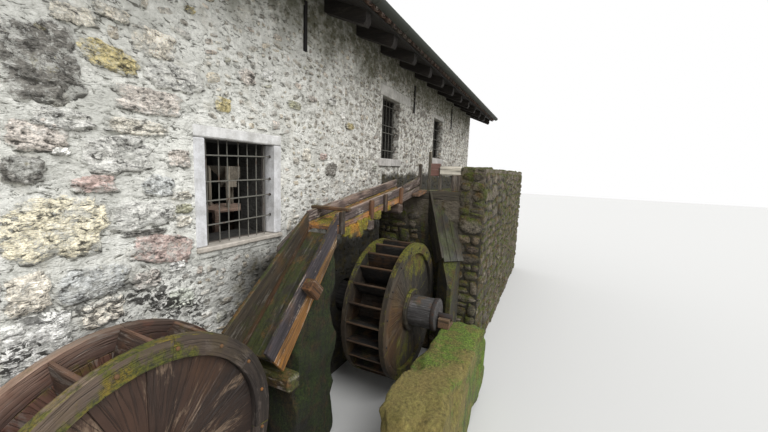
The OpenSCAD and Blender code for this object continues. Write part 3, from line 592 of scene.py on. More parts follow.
class Finish(Enum):
    """Finishes of the mill's pieces."""

    MORTAR = MortarFinish()
    WALL_STONE = StoneFinish()
    FAR_STONE = StoneFinish("far_rubble_stone", 0.35, 0.45)
    RACE_STONE = StoneFinish(
        "race_stone", 0.1, 0.88, WET_LIME, slot="mossy_stone",
        cover=(Moss(0.66, (0.085, 0.098, 0.012), (0.095, 0.055, 0.016)),))
    RACE_BED = MortarFinish(
        "race_mortar", WET_LIME,
        (Weather(), Moss(0.6, (0.08, 0.09, 0.014), (0.09, 0.05, 0.016))))
    PIER_MOSS = MossFinish(
        "pier_moss", Moss(1.15, (0.13, 0.21, 0.022), (0.17, 0.155, 0.035), (0.045, 0.05, 0.012)),
        straw_to=-2.15)
    # dark wet moss and painted shade: the pier under the chute is painted far darker than the lit
    # pier
    CHUTE_MOSS = MossFinish(
        "chute_moss", Moss(1.1, (0.022, 0.036, 0.004), (0.042, 0.028, 0.007),
                           (0.005, 0.006, 0.002)), (0.014, 0.012, 0.008))
    TROUGH_MOSS = MossFinish(
        "trough_moss", Moss(1.2, (0.24, 0.22, 0.02), (0.46, 0.22, 0.025), (0.09, 0.05, 0.012)))
    CUT_STONE = CutStoneFinish()
    ROOF_TIMBER = TimberFinish(
        "roof_timber", (0.034, 0.027, 0.022), (0.009, 0.0072, 0.006), worn=0.05, axis=1)
    ROOF_BOARD = TimberFinish(
        "roof_board", (0.028, 0.023, 0.018), (0.008, 0.006, 0.005), worn=0.04, axis=0)
    FLOOR_BOARD = TimberFinish(
        "floor_board", (0.10, 0.075, 0.05), (0.04, 0.028, 0.018), worn=0.1, axis=0)
    DOOR_BOARD = TimberFinish(
        "door_board", (0.17, 0.125, 0.085), (0.06, 0.042, 0.03), worn=0.3, slot="dry_timber")
    BENCH = TimberFinish(
        "bench_board", (0.62, 0.44, 0.34), (0.40, 0.27, 0.20), worn=0.15, axis=0)
    HOPPER = TimberFinish(
        "hopper_board", (0.24, 0.21, 0.165), (0.14, 0.12, 0.09), worn=0.1, axis=2)
    FLUME = TimberFinish(
        "flume_board", (0.22, 0.172, 0.150), (0.040, 0.031, 0.029), 0.20, (0.10, 0.11, 0.018),
        0.2, (0.20, 0.10, 0.03), 0.7, 0.75, bleached=(0.42, 0.365, 0.325))
    FLUME_LOW = TimberFinish(
        "flume_lower_board", (0.44, 0.235, 0.13), (0.11, 0.06, 0.035), 0.62, (0.30, 0.25, 0.03),
        0.8, (0.56, 0.24, 0.05), 0.6)
    CHUTE = TimberFinish(
        "chute_board", (0.092, 0.078, 0.078), (0.022, 0.019, 0.021), 0.15, (0.08, 0.09, 0.015),
        0.15, (0.30, 0.14, 0.03), 0.8, 0.75, bleached=(0.44, 0.37, 0.32))
    CHUTE_IN = TimberFinish(
        "chute_inner_board", (0.078, 0.058, 0.036), (0.020, 0.016, 0.011), 0.45,
        (0.050, 0.060, 0.012), 0.45, (0.17, 0.08, 0.02), 0.8, 0.35)
    STRINGER = TimberFinish(
        "chute_stringer", (0.34, 0.165, 0.045), (0.07, 0.036, 0.014), 0.25, (0.10, 0.10, 0.015),
        0.6, (0.46, 0.20, 0.03), 0.6, 0.6, bleached=(0.60, 0.50, 0.40))
    CLEAT = TimberFinish(
        "cleat", (0.19, 0.115, 0.065), (0.045, 0.028, 0.019), 0.2, stain=0.3, wet=0.5, worn=0.3)
    SLUICE = TimberFinish(
        "sluice_timber", (0.16, 0.135, 0.105), (0.04, 0.034, 0.027), 0.3, worn=0.4)
    BEAM = TimberFinish("sluice_beam", (0.82, 0.77, 0.66), (0.52, 0.47, 0.38), worn=0.2)
    GATE = TimberFinish(
        "gate_board", (0.34, 0.19, 0.155), (0.17, 0.09, 0.075), worn=0.2, wet=0.5,
        slot="gate_board")
    SPILLWAY = TimberFinish(
        "spillway_board", (0.050, 0.043, 0.030), (0.014, 0.012, 0.009), 0.3, (0.05, 0.06, 0.012),
        0.15, (0.06, 0.035, 0.014), 0.9, 0.06)
    WHEEL_1 = TimberFinish(
        "wheel_1_board", (0.066, 0.038, 0.023), (0.037, 0.021, 0.013), 0.0, (0.15, 0.14, 0.015),
        0.15, (0.15, 0.065, 0.02), 0.8, 0.9, bleached=(0.20, 0.138, 0.092), cracks=0.35,
        patch=6.5, slot=WHEEL)
    RIM_1 = TimberFinish(
        "wheel_1_rim", (0.108, 0.079, 0.058), (0.034, 0.024, 0.018), 0.5, (0.100, 0.105, 0.010),
        0.1, (0.205, 0.148, 0.015), 0.8, 0.35, bleached=(0.18, 0.145, 0.12), cracks=0.3,
        moss_scale=7.0, slot=WHEEL)
    INNER_1 = TimberFinish(
        "wheel_1_inner_board", (0.19, 0.108, 0.076), (0.095, 0.052, 0.036), 0.1,
        (0.15, 0.13, 0.015), 0.5, (0.17, 0.055, 0.027), 0.8, 0.7, bleached=(0.25, 0.215, 0.185),
        cracks=0.15, patch=8.0, slot=WHEEL)
    WHEEL_2 = TimberFinish(
        "wheel_2_board", (0.044, 0.038, 0.026), (0.018, 0.0155, 0.011), 0.45,
        (0.155, 0.150, 0.010), 0.35, (0.115, 0.068, 0.012), 0.7, 0.4,
        bleached=(0.11, 0.088, 0.060), cracks=0.25, patch=6.0, moss_scale=5.0, slot=WHEEL)
    BUCKET = TimberFinish(
        "bucket_board", (0.040, 0.026, 0.016), (0.010, 0.007, 0.005), 0.05, (0.05, 0.05, 0.01),
        0.3, (0.16, 0.07, 0.02), 0.6, 0.1, slot=WHEEL)
    BUCKET_1 = TimberFinish(
        "wheel_1_bucket_board", (0.17, 0.105, 0.076), (0.06, 0.038, 0.030), 0.05,
        (0.12, 0.10, 0.015), 0.4, (0.22, 0.09, 0.035), 0.6, 0.45, bleached=(0.26, 0.24, 0.21),
        cracks=0.3, slot=WHEEL)
    LOG = TimberFinish(
        "log_timber", (0.102, 0.096, 0.094), (0.028, 0.026, 0.026), 0.05, (0.05, 0.06, 0.012),
        0.12, wet=0.7, bleached=(0.22, 0.22, 0.225), slot=WHEEL)
    BEARING = TimberFinish(
        "bearing_timber", (0.21, 0.13, 0.075), (0.075, 0.045, 0.028), 0.1, stain=0.4, wet=0.5,
        slot="bearing_timber")
    RUSTY_IRON = MetalFinish("rusty_iron", (0.036, 0.031, 0.029), (0.062, 0.030, 0.017), 0.6)
    ANCHOR_IRON = MetalFinish("anchor_iron", (0.016, 0.014, 0.014), (0.030, 0.019, 0.014), 0.4)
    BOLT_IRON = MetalFinish("bolt_iron", (0.17, 0.095, 0.045), (0.32, 0.135, 0.04), 0.8)
    GRILLE = MetalFinish("grille_iron", (0.135, 0.130, 0.110), (0.10, 0.06, 0.04), 0.3, 0.0)
    GUTTER = MetalFinish(
        "gutter_sheet", (0.050, 0.055, 0.045), (0.07, 0.06, 0.035), 0.3, 0.1, "gutter_metal")
    CLAY = ClayFinish()


@cache
def material(finish: Finish) -> bpy.types.Material:
    """Gives the material of a finish, made once."""
    return finish.value.make()


def dress(finish: Finish, *nodes: str) -> None:
    """Gives carried-over nodes their finish."""
    for node in nodes:
        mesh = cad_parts[node].data
        mesh.materials.clear()
        mesh.materials.append(material(finish))
        log.info("dressed %s with %s", node, finish.name)


def axes(origin: Vector, x: Vector, y: Vector, z: Vector) -> Matrix:
    """Matrix that puts a shape's own axes along three vectors at a point."""
    rows = Matrix((x, y, z)).transposed().to_4x4()
    rows.translation = origin
    return rows


def turned(a: Vector, b: Vector, angle: float) -> tuple[Vector, Vector]:
    """Turns two square directions in their own plane."""
    c, s = math.cos(angle), math.sin(angle)
    return a * c + b * s, b * c - a * s


def to_mesh(shape: Shape, name: str = "shape") -> bpy.types.Mesh:
    """Turns a shape into a mesh and uses it up."""
    mesh = bpy.data.meshes.new(name)
    shape.to_mesh(mesh)
    shape.free()
    return mesh


def show(name: str, data: bpy.types.ID) -> bpy.types.Object:
    """Puts a new object into the scene."""
    new = bpy.data.objects.new(name, data)
    bpy.context.scene.collection.objects.link(new)
    return new


def soften(shape: Shape, width: float, segments: int = 1) -> None:
    """Rounds the sharp edges of a shape."""
    sharp = [e for e in shape.edges if len(e.link_faces) == 2 and e.calc_face_angle(0.0) > 0.5]
    bmesh.ops.bevel(shape, geom=sharp, offset=width, affect="EDGES", segments=segments,
                    profile=0.5, material=-1, clamp_overlap=True)


def board_shape(size: Vector, cuts: int, edge: float, wear: float, seed: float) -> Shape:
    """Sawn board with worn edges, from nought to its size along each axis.

    Args:
        size: length, width and thickness.
        cuts: cuts along its length.
        edge: width of its worn edges.
        wear: how far its surface wanders.
        seed: where the wandering is read.

    Returns:
        The board's mesh.
    """
    shape = bmesh.new()
    bmesh.ops.create_cube(shape, size=1.0)
    bmesh.ops.translate(shape, verts=shape.verts[:], vec=(0.5, 0.5, 0.5))
    bmesh.ops.scale(shape, verts=shape.verts[:], vec=size)
    long_edges = [e for e in shape.edges if abs((e.verts[0].co - e.verts[1].co).x) > 1e-6]
    bmesh.ops.subdivide_edges(shape, edges=long_edges, cuts=cuts, use_grid_fill=True)
    soften(shape, min(edge, min(size) * 0.3))
    for vert in shape.verts:
        x, y, z = vert.co
        ends = 1.0 if 0.01 < x < size.x - 0.01 else 0.3
        drift = noise.noise_vector(Vector((x * 2.3, y * 5.0, z * 5.0 + seed)))
        vert.co += Vector((0.3 * drift.x, drift.y, 0.6 * drift.z)) * wear * ends
    return shape


def bar_shape(radius: float, length: float, segments: int, cuts: int = 0) -> Shape:
    """Round bar along z with its middle at the origin, with cuts along its length."""
    shape = bmesh.new()
    bmesh.ops.create_cone(shape, cap_ends=True, segments=segments, radius1=radius,
                          radius2=radius, depth=length)
    if cuts:
        ends = [(e, e.verts[0].co - e.verts[1].co) for e in shape.edges]
        long_edges = [e for e, reach in ends if abs(reach.z) > length * 0.5]
        bmesh.ops.subdivide_edges(shape, edges=long_edges, cuts=cuts)
    return shape


def arc_shape(r_in: float, r_out: float, low: float, high: float, angle: float,
              steps: int) -> Shape:
    """Solid spun round the z axis from the x axis through an angle.

    Args:
        r_in: inside radius.
        r_out: outside radius.
        low: lower height.
        high: upper height.
        angle: angle in radians, a whole turn for a closed ring.
        steps: steps of the spin.

    Returns:
        The solid's mesh.
    """
    shape = bmesh.new()
    places = ((r_in, 0, low), (r_out, 0, low), (r_out, 0, high), (r_in, 0, high))
    corners = [shape.verts.new(p) for p in places]
    whole = angle == WHOLE_TURN
    if whole:
        geom = corners + [shape.edges.new((corners[i - 1], corners[i])) for i in (1, 2, 3, 0)]
    else:
        face = shape.faces.new(corners)
        geom = [face, *face.edges, *corners]
    bmesh.ops.spin(shape, geom=geom, cent=(0, 0, 0), axis=(0, 0, 1), dvec=(0, 0, 0),
                   angle=angle, steps=steps, use_merge=whole, use_duplicate=False)
    bmesh.ops.remove_doubles(shape, verts=shape.verts[:], dist=1e-5)
    bmesh.ops.recalc_face_normals(shape, faces=shape.faces[:])
    return shape


def rough_block(cuts: int, roughness: float, seed: float, square: float = 0.5) -> Shape:
    """Rounded natural block that fills a cube of one metre round the origin.

    Args:
        cuts: cuts of each face.
        roughness: how far its surface wanders.
        seed: where the wandering is read.
        square: how square it stays, from nought for a ball to one.

    Returns:
        The block's mesh.
    """
    shape = bmesh.new()
    bmesh.ops.create_cube(shape, size=1.0)
    bmesh.ops.subdivide_edges(shape, edges=shape.edges[:], cuts=cuts, use_grid_fill=True)
    for vert in shape.verts:
        vert.co = vert.co.lerp(vert.co.normalized() * 0.5, (1.0 - square) * 0.9)
        drift = noise.fractal(vert.co * 2.6 + Vector((seed, -seed, seed * 0.3)), 0.7, 2.0, 3)
        vert.co *= 1.0 + drift * roughness
    bmesh.ops.smooth_vert(shape, verts=shape.verts[:], factor=0.25, use_axis_x=True,
                          use_axis_y=True, use_axis_z=True)
    return shape


class Part:
    """Mesh of one piece, to which boards, stones and iron are added."""

    def __init__(self, name: str, seed: int) -> None:
        """Starts an empty piece.

        Args:
            name: name of the piece.
            seed: start of its own random numbers.
        """
        self.name = name
        self.rng = random.Random(seed)
        self.bm = bmesh.new()
        self.bm.verts.layers.float_vector.new("grain")
        self.tone = self.bm.verts.layers.float_color.new("tone")
        self.bm.verts.layers.float.new("edge")

    def take(self, shape: Shape, place: Place, tone: Tone = PLAIN,
             grain: Optional[Callable[[Vector], Vector]] = None, smooth: bool = True) -> None:
        """Moves a shape into the piece.

        Args:
            shape: the shape, which is used up.
            place: where it goes: a matrix, or a function of a local point.
            tone: its own tone, or a function of a local point.
            grain: gives the grain's coordinates from a local point, or the point itself.
            smooth: whether its faces are shaded smooth.
        """
        grain_layer = shape.verts.layers.float_vector.new("grain")
        tone_layer = shape.verts.layers.float_color.new("tone")
        shift = Vector([self.rng.uniform(0, 40) for _ in range(3)])
        for vert in shape.verts:
            vert[grain_layer] = (grain(vert.co) if grain else vert.co) + shift
            vert[tone_layer] = (*(tone(vert.co) if callable(tone) else tone), 1.0)[:4]
            vert.co = place(vert.co) if callable(place) else place @ vert.co
        if callable(place):
            bmesh.ops.recalc_face_normals(shape, faces=shape.faces[:])
        elif place.determinant() < 0:
            bmesh.ops.reverse_faces(shape, faces=shape.faces[:])
        for face in shape.faces:
            face.smooth = smooth
        mesh = to_mesh(shape)
        self.bm.from_mesh(mesh)
        bpy.data.meshes.remove(mesh)

    def stamp(self, pattern: bpy.types.Mesh, place: Matrix, tone: Sequence[float]) -> None:
        """Copies a ready pattern into the piece, in its own tone."""
        start = len(self.bm.verts)
        self.bm.from_mesh(pattern)
        self.bm.verts.ensure_lookup_table()
        for index in range(start, len(self.bm.verts)):
            vert = self.bm.verts[index]
            vert.co = place @ vert.co
            vert.co.z = max(vert.co.z, 0.0)
            vert[self.tone] = (*tone, 1.0)

    def board(self, origin: Vector, along: Vector, across: Vector, through: Vector,
              cuts: int = 6, edge: float = 0.006, wear: float = 0.005,
              tone: Optional[Tone] = None) -> None:
        """Adds a board that runs along one vector, its width and thickness along two others.

        Args:
            origin: the corner that it starts from.
            along: its length.
            across: its width.
            through: its thickness.
            cuts: cuts along its length.
            edge: width of its worn edges.
            wear: how far its surface wanders.
            tone: its own tone, or a random one.
        """
        size = Vector((along.length, across.length, through.length))
        shape = board_shape(size, cuts, edge, wear, self.rng.uniform(0, 90))
        if tone is None:
            level = self.rng.uniform(0.72, 1.15)
            red = level * self.rng.uniform(0.94, 1.08)
            tone = (red, level, level * self.rng.uniform(0.9, 1.04))
        place = axes(origin, along.normalized(), across.normalized(), through.normalized())
        self.take(shape, place, tone, smooth=False)

    def quad_board(self, corners: Sequence[Vector], through: Vector, tone: Tone) -> None:
        """Adds a board whose face has four given corners.

        Args:
            corners: its corners, the first two along its length.
            through: its thickness.
            tone: its own tone, or a function of a point of the board in metres.
        """
        a, b, c, d = corners
        size = Vector(((b - a).length, (d - a).length, through.length))
        square = through.normalized()

        def fit(p: Vector) -> Vector:
            """Place of a point of the straight board."""
            u, v = p.x / size.x, p.y / size.y
            return (a.lerp(b, u)).lerp(d.lerp(c, u), v) + square * p.z

        shape = board_shape(size, 16, 0.007, 0.007, self.rng.uniform(0, 90))
        self.take(shape, fit, tone, smooth=False)

    def rod(self, start: Vector, end: Vector, radius: float, bow: float = 0.0) -> None:
        """Adds a round iron rod with rounded ends and a slight bow."""
        shape = bar_shape(radius, (end - start).length, 8, 5)
        soften(shape, radius * 0.4)
        seed = self.rng.uniform(0, 50)
        for vert in shape.verts:
            drift = noise.noise_vector(Vector((0, 0, vert.co.z * 1.3 + seed)))
            vert.co += Vector((drift.x, drift.y, 0)) * bow
        turn = (end - start).normalized().to_track_quat("Z", "Y").to_matrix().to_4x4()
        self.take(shape, Matrix.Translation((start + end) / 2) @ turn)

    def done(self, finish: Finish, *nodes: str, body: str = "mill") -> None:
        """Makes the piece's object.

        Args:
            finish: its finish.
            nodes: nodes that it stands for.
            body: body that it rides on.
        """
        mesh, slot = to_mesh(self.bm, self.name), finish.value.slot
        mesh.materials.append(material(finish))
        piece = show(self.name, mesh)
        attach(piece, body)
        if nodes:
            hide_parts(*nodes)
        log.info("built %s with %d faces", self.name, len(mesh.polygons))


def facing_pattern(seed: int, sides: int) -> bpy.types.Mesh:
    """Facing stone of a few dozen faces: an uneven outline, with a rounded front at z one.

    Args:
        seed: start of its random numbers, which also says how round its outline is.
        sides: corners of its outline.

    Returns:
        The pattern, whose edge attribute is nought on the outline and one inside.
    """
    rng = random.Random(seed)
    roundness = 0.80 if seed % 3 else 0.95
    shape = bmesh.new()
    edge = shape.verts.layers.float.new("edge")
    bmesh.ops.create_circle(shape, cap_ends=True, cap_tris=False, segments=sides, radius=1.0)
    for vert in shape.verts:
        turn = math.atan2(vert.co.y, vert.co.x)
        c, s = math.cos(turn), math.sin(turn)
        square = 0.54 / max(abs(c), abs(s), roundness)
        vert.co = Vector((c, s, 0.0)) * square * rng.uniform(0.78, 1.05)
    raised = bmesh.ops.extrude_face_region(shape, geom=shape.faces[:], use_keep_orig=True)
    top = [g for g in raised["geom"] if isinstance(g, bmesh.types.BMFace)]
    verts = [g for g in raised["geom"] if isinstance(g, bmesh.types.BMVert)]
    bmesh.ops.translate(shape, verts=verts, vec=(0, 0, 0.5))
    bmesh.ops.inset_region(shape, faces=top, thickness=0.13, depth=0.0)
    front = {v for f in top for v in f.verts}
    for vert in (v for v in shape.verts if v in front):
        vert.co.z += 0.4 * rng.uniform(0.5, 1.1)
        vert[edge] = 1.0
    for vert in bmesh.ops.poke(shape, faces=top)["verts"]:
        vert.co.z = rng.uniform(0.85, 1.05)
        vert[edge] = 1.0
    bmesh.ops.recalc_face_normals(shape, faces=shape.faces[:])
    for face in shape.faces:
        face.smooth = True
    return to_mesh(shape)


def large_stone(rng: random.Random) -> Shape:
    """Large facing stone: an uneven outline one metre across and a rough front at z one."""
    shape = bmesh.new()
    edge = shape.verts.layers.float.new("edge")
    bmesh.ops.create_grid(shape, x_segments=22, y_segments=15, size=0.5)
    back = len(shape.verts)
    seed, power = rng.uniform(0, 80), rng.uniform(2.6, 5.5)
    bmesh.ops.extrude_face_region(shape, geom=shape.faces[:], use_keep_orig=True)
    for index, vert in enumerate(shape.verts):
        x, y, _ = vert.co
        reach = min(1.0, 2.0 * max(abs(x), abs(y)))
        turn = math.atan2(y, x)
        c, s = math.cos(turn), math.sin(turn)
        limit = 0.5 / (abs(c) ** power + abs(s) ** power) ** (1.0 / power)
        limit *= 1.0 + 0.17 * noise.fractal(Vector((c * 1.7, s * 1.7, seed)), 0.6, 2.2, 4)
        vert[edge] = min(1.0, (1.0 - reach) * 5.0)
        rough = noise.fractal(Vector((x * 4.5, y * 4.5, seed)), 0.8, 2.0, 4)
        top = 0.42 + 0.52 * min(1.0, (1.0 - reach) * 4.0) ** 0.6 + 0.42 * rough
        vert.co = (c * reach * limit, s * reach * limit, top if index >= back else 0.0)
    bmesh.ops.recalc_face_normals(shape, faces=shape.faces[:])
    return shape


STONE_TONES: tuple[Colour, ...] = (
    (0.62, 0.59, 0.52), (0.72, 0.68, 0.60), (0.48, 0.455, 0.41), (0.68, 0.59, 0.46),
    (0.80, 0.75, 0.66), (0.33, 0.31, 0.28), (0.60, 0.52, 0.45), (0.52, 0.51, 0.49),
    (0.70, 0.59, 0.41), (0.64, 0.53, 0.47), (0.44, 0.45, 0.34), (0.84, 0.82, 0.75))
FADED = Vector((0.60, 0.56, 0.48))
PATTERN_SIDES = (8, 9, 10, 8, 9, 11, 9, 10, 8, 12, 11, 10)


@dataclass
class Panel:
    """Face of masonry that stones are laid on, in its own two directions."""

    origin: Vector
    along: Vector
    up: Vector
    out: Vector
    width: float
    height: float
    holes: Sequence[Rect] = ()
    top: Callable[[float], float] = lambda u: math.inf

    def free(self, u0: float, v0: float, u1: float, v1: float) -> bool:
        """Whether a rectangle is clear of the holes and under the top."""
        if v1 > min(self.top(u0), self.top(u1)):
            return False
        return all(u1 <= a or u0 >= c or v1 <= b or v0 >= d for a, b, c, d in self.holes)

    def split(self, rng: random.Random, box: Rect,
              size: Callable[[float], float]) -> Iterable[Rect]:
        """Cuts a rectangle into uneven smaller ones.

        Args:
            rng: random numbers.
            box: the rectangle.
            size: gives the wanted stone width at a place along the face.

        Returns:
            The small rectangles.
        """
        u0, v0, u1, v1 = box
        w, h = u1 - u0, v1 - v0
        want = size((u0 + u1) / 2) * rng.uniform(0.6, 1.5)
        if w > want and (w > h * 1.5 or h < want * 0.7):
            cut = u0 + w * rng.uniform(0.34, 0.66)
            halves = ((u0, v0, cut, v1), (cut, v0, u1, v1))
        elif h > want * 0.62:
            cut = v0 + h * rng.uniform(0.34, 0.66)
            halves = ((u0, v0, u1, cut), (u0, cut, u1, v1))
        else:
            yield box
            return
        for half in halves:
            yield from self.split(rng, half, size)

    def lay(self, part: Part, patterns: Sequence[bpy.types.Mesh],
            size: Union[float, Callable[[float], float]], proud: float = 0.022,
            joint: float = 0.016, dim: float = 1.0, share: float = 1.0, cool: float = 1.0,
            fade: float = 0.0, loose: float = 0.0) -> None:
        """Lays stones over the face.

        Args:
            part: piece that takes them.
            patterns: stone patterns to choose from.
            size: the wanted stone width, or gives it at a place along the face.
            proud: how far a stone stands out of the mortar.
            joint: width of the mortar joints.
            dim: how dark the stones are.
            share: share of the places that get a stone.
            cool: less than one for warmer, browner stones.
            fade: how far the stones' tones are drawn to one beige.
            loose: how much smaller than its place and how crooked a stone may be.
        """
        rng = part.rng
        wanted = size if callable(size) else lambda u: size
        for u0, v0, u1, v1 in self.split(rng, (0.0, 0.0, self.width, self.height), wanted):
            keep = rng.random() < share
            w, h = u1 - u0 - joint, v1 - v0 - joint
            if not keep or min(w, h) < 0.02 or not self.free(u0, v0, u1, v1):
                continue
            turn = rng.uniform(-0.16, 0.16) * (1.0 + 3.0 * loose)
            slack_u, slack_v = (loose * rng.random() ** 0.7 for _ in range(2))
            middle = self.origin + self.along * (
                (u0 + u1) / 2 + rng.uniform(-0.5, 0.5) * slack_u * w)
            middle += self.up * ((v0 + v1) / 2 + rng.uniform(-0.5, 0.5) * slack_v * h)
            w, h = w * (1.0 - slack_u), h * (1.0 - slack_v)
            depth = proud * rng.uniform(0.45, 1.35) + 0.03
            x, y = turned(self.along, self.up, turn)
            place = axes(middle - self.out * 0.03, x * w, y * h, self.out * depth)
            level = rng.uniform(0.75, 1.2) * dim
            r, g, b = Vector(rng.choice(STONE_TONES)).lerp(FADED, fade)
            tone = (r * level, g * level * cool, b * level * cool ** 2.5)
            part.stamp(rng.choice(patterns), place, tone)


HeroStone = tuple[float, float, float, float, Colour, float]
GREY, BLUE, PINK, OCHRE, CREAM, DARK, WHITE, OLIVE, ROSE, GREEN, LICHEN, BEIGE = (
    (0.64, 0.63, 0.59), (0.54, 0.55, 0.535), (0.66, 0.60, 0.54), (0.62, 0.53, 0.28),
    (0.82, 0.76, 0.65), (0.20, 0.19, 0.17), (0.92, 0.91, 0.87), (0.46, 0.45, 0.32),
    (0.52, 0.40, 0.36), (0.60, 0.62, 0.54), (0.86, 0.79, 0.60), (0.70, 0.66, 0.57))
HERO_STONES: tuple[HeroStone, ...] = (
    (2.67, 3.11, 3.99, 4.50, DARK, 0.05), (2.66, 2.99, 3.64, 3.86, PINK, 0.0),
    (2.89, 3.00, 3.62, 3.68, WHITE, 0.0), (2.62, 2.85, 3.42, 3.61, DARK, 0.0),
    (2.79, 3.14, 3.80, 3.95, GREY, 0.03), (3.06, 3.52, 4.30, 4.49, OCHRE, -0.2),
    (3.45, 3.84, 4.50, 4.72, CREAM, 0.05), (3.56, 4.08, 4.26, 4.48, GREY, 0.05),
    (3.32, 3.86, 4.01, 4.22, PINK, 0.0), (3.24, 3.71, 3.82, 3.95, BEIGE, 0.0),
    (3.07, 3.57, 3.51, 3.79, GREY, 0.05), (3.71, 3.93, 3.56, 3.72, PINK, 0.0),
    (2.99, 3.29, 3.34, 3.48, ROSE, 0.0), (3.48, 3.76, 3.29, 3.48, BLUE, -0.1),
    (3.24, 3.74, 3.02, 3.26, GREY, 0.0), (3.74, 3.93, 3.25, 3.33, BEIGE, 0.1),
    (3.76, 3.93, 3.12, 3.21, OLIVE, 0.0), (3.76, 3.92, 2.99, 3.09, BEIGE, 0.0),
    (2.60, 3.20, 2.88, 3.32, LICHEN, 0.06), (3.36, 3.92, 2.68, 2.94, ROSE, -0.25),
    (3.30, 3.68, 2.95, 3.01, DARK, 0.0), (2.57, 2.82, 2.52, 2.80, CREAM, 0.0),
    (2.86, 3.32, 2.52, 2.77, BLUE, 0.0), (3.68, 3.84, 2.57, 2.67, WHITE, 0.0),
    (2.54, 2.92, 2.08, 2.48, WHITE, 0.0), (2.99, 3.28, 2.28, 2.48, CREAM, 0.1),
    (3.48, 3.64, 2.24, 2.42, GREY, 0.0), (3.64, 3.93, 2.18, 2.38, GREEN, -0.1),
    (3.21, 3.45, 4.68, 4.79, CREAM, 0.0), (2.93, 3.22, 4.56, 4.69, BEIGE, 0.1),
    (3.93, 4.02, 4.99, 5.05, OCHRE, 0.0), (3.36, 3.60, 2.46, 2.64, PINK, 0.1),
    (2.10, 2.50, 3.10, 3.44, GREY, 0.0), (2.05, 2.52, 3.55, 3.84, BEIGE, 0.0),
    (2.00, 2.55, 2.60, 2.98, GREY, 0.1), (2.15, 2.58, 3.95, 4.30, PINK, 0.0),
    (4.87, 5.05, 4.62, 4.75, WHITE, 0.0), (6.22, 6.43, 4.57, 4.68, WHITE, 0.1),
    (6.57, 6.70, 4.42, 4.52, WHITE, 0.0), (4.52, 4.78, 4.50, 4.67, PINK, 0.0),
    (4.23, 4.42, 4.15, 4.30, OCHRE, 0.0), (5.32, 5.58, 4.37, 4.47, OLIVE, 0.0),
    (5.72, 5.92, 4.53, 4.62, PINK, 0.0), (6.00, 6.20, 3.72, 3.83, ROSE, 0.0),
    (5.60, 5.80, 3.70, 3.87, BEIGE, 0.0), (6.18, 6.47, 3.50, 3.70, DARK, 0.0),
    (7.72, 7.88, 3.58, 3.73, GREEN, 0.0), (6.73, 6.97, 4.27, 4.38, OCHRE, 0.0))
Window = tuple[float, float, float, float, float, float, float]
PLAIN_WINDOWS: tuple[Window, ...] = (
    (8.10, 3.85, 0.86, 1.25, 1.60, 0.22, 0.16), (11.42, 4.02, 0.88, 1.13, 1.10, 0.12, 0.20))
BACK_WINDOWS: tuple[Window, ...] = tuple(
    (x, 3.35, 0.86, 1.25, 1.10, 0.22, 0.16) for x in (4.10, 11.42, 13.60))
CUT_TAIL = 0.11


def window_holes(windows: Sequence[Window]) -> list[Rect]:
    """Places of the openings, lintels and sills of plain windows, for stones to keep clear of."""
    holes = []
    for x, z, w, h, lintel_l, lintel_h, sill_h in windows:
        a = x - CUT_TAIL
        holes += [(x, z, x + w, z + h), (a, z + h, a + lintel_l, z + h + lintel_h),
                  (a, z - sill_h, x + w + CUT_TAIL, z)]
    return holes


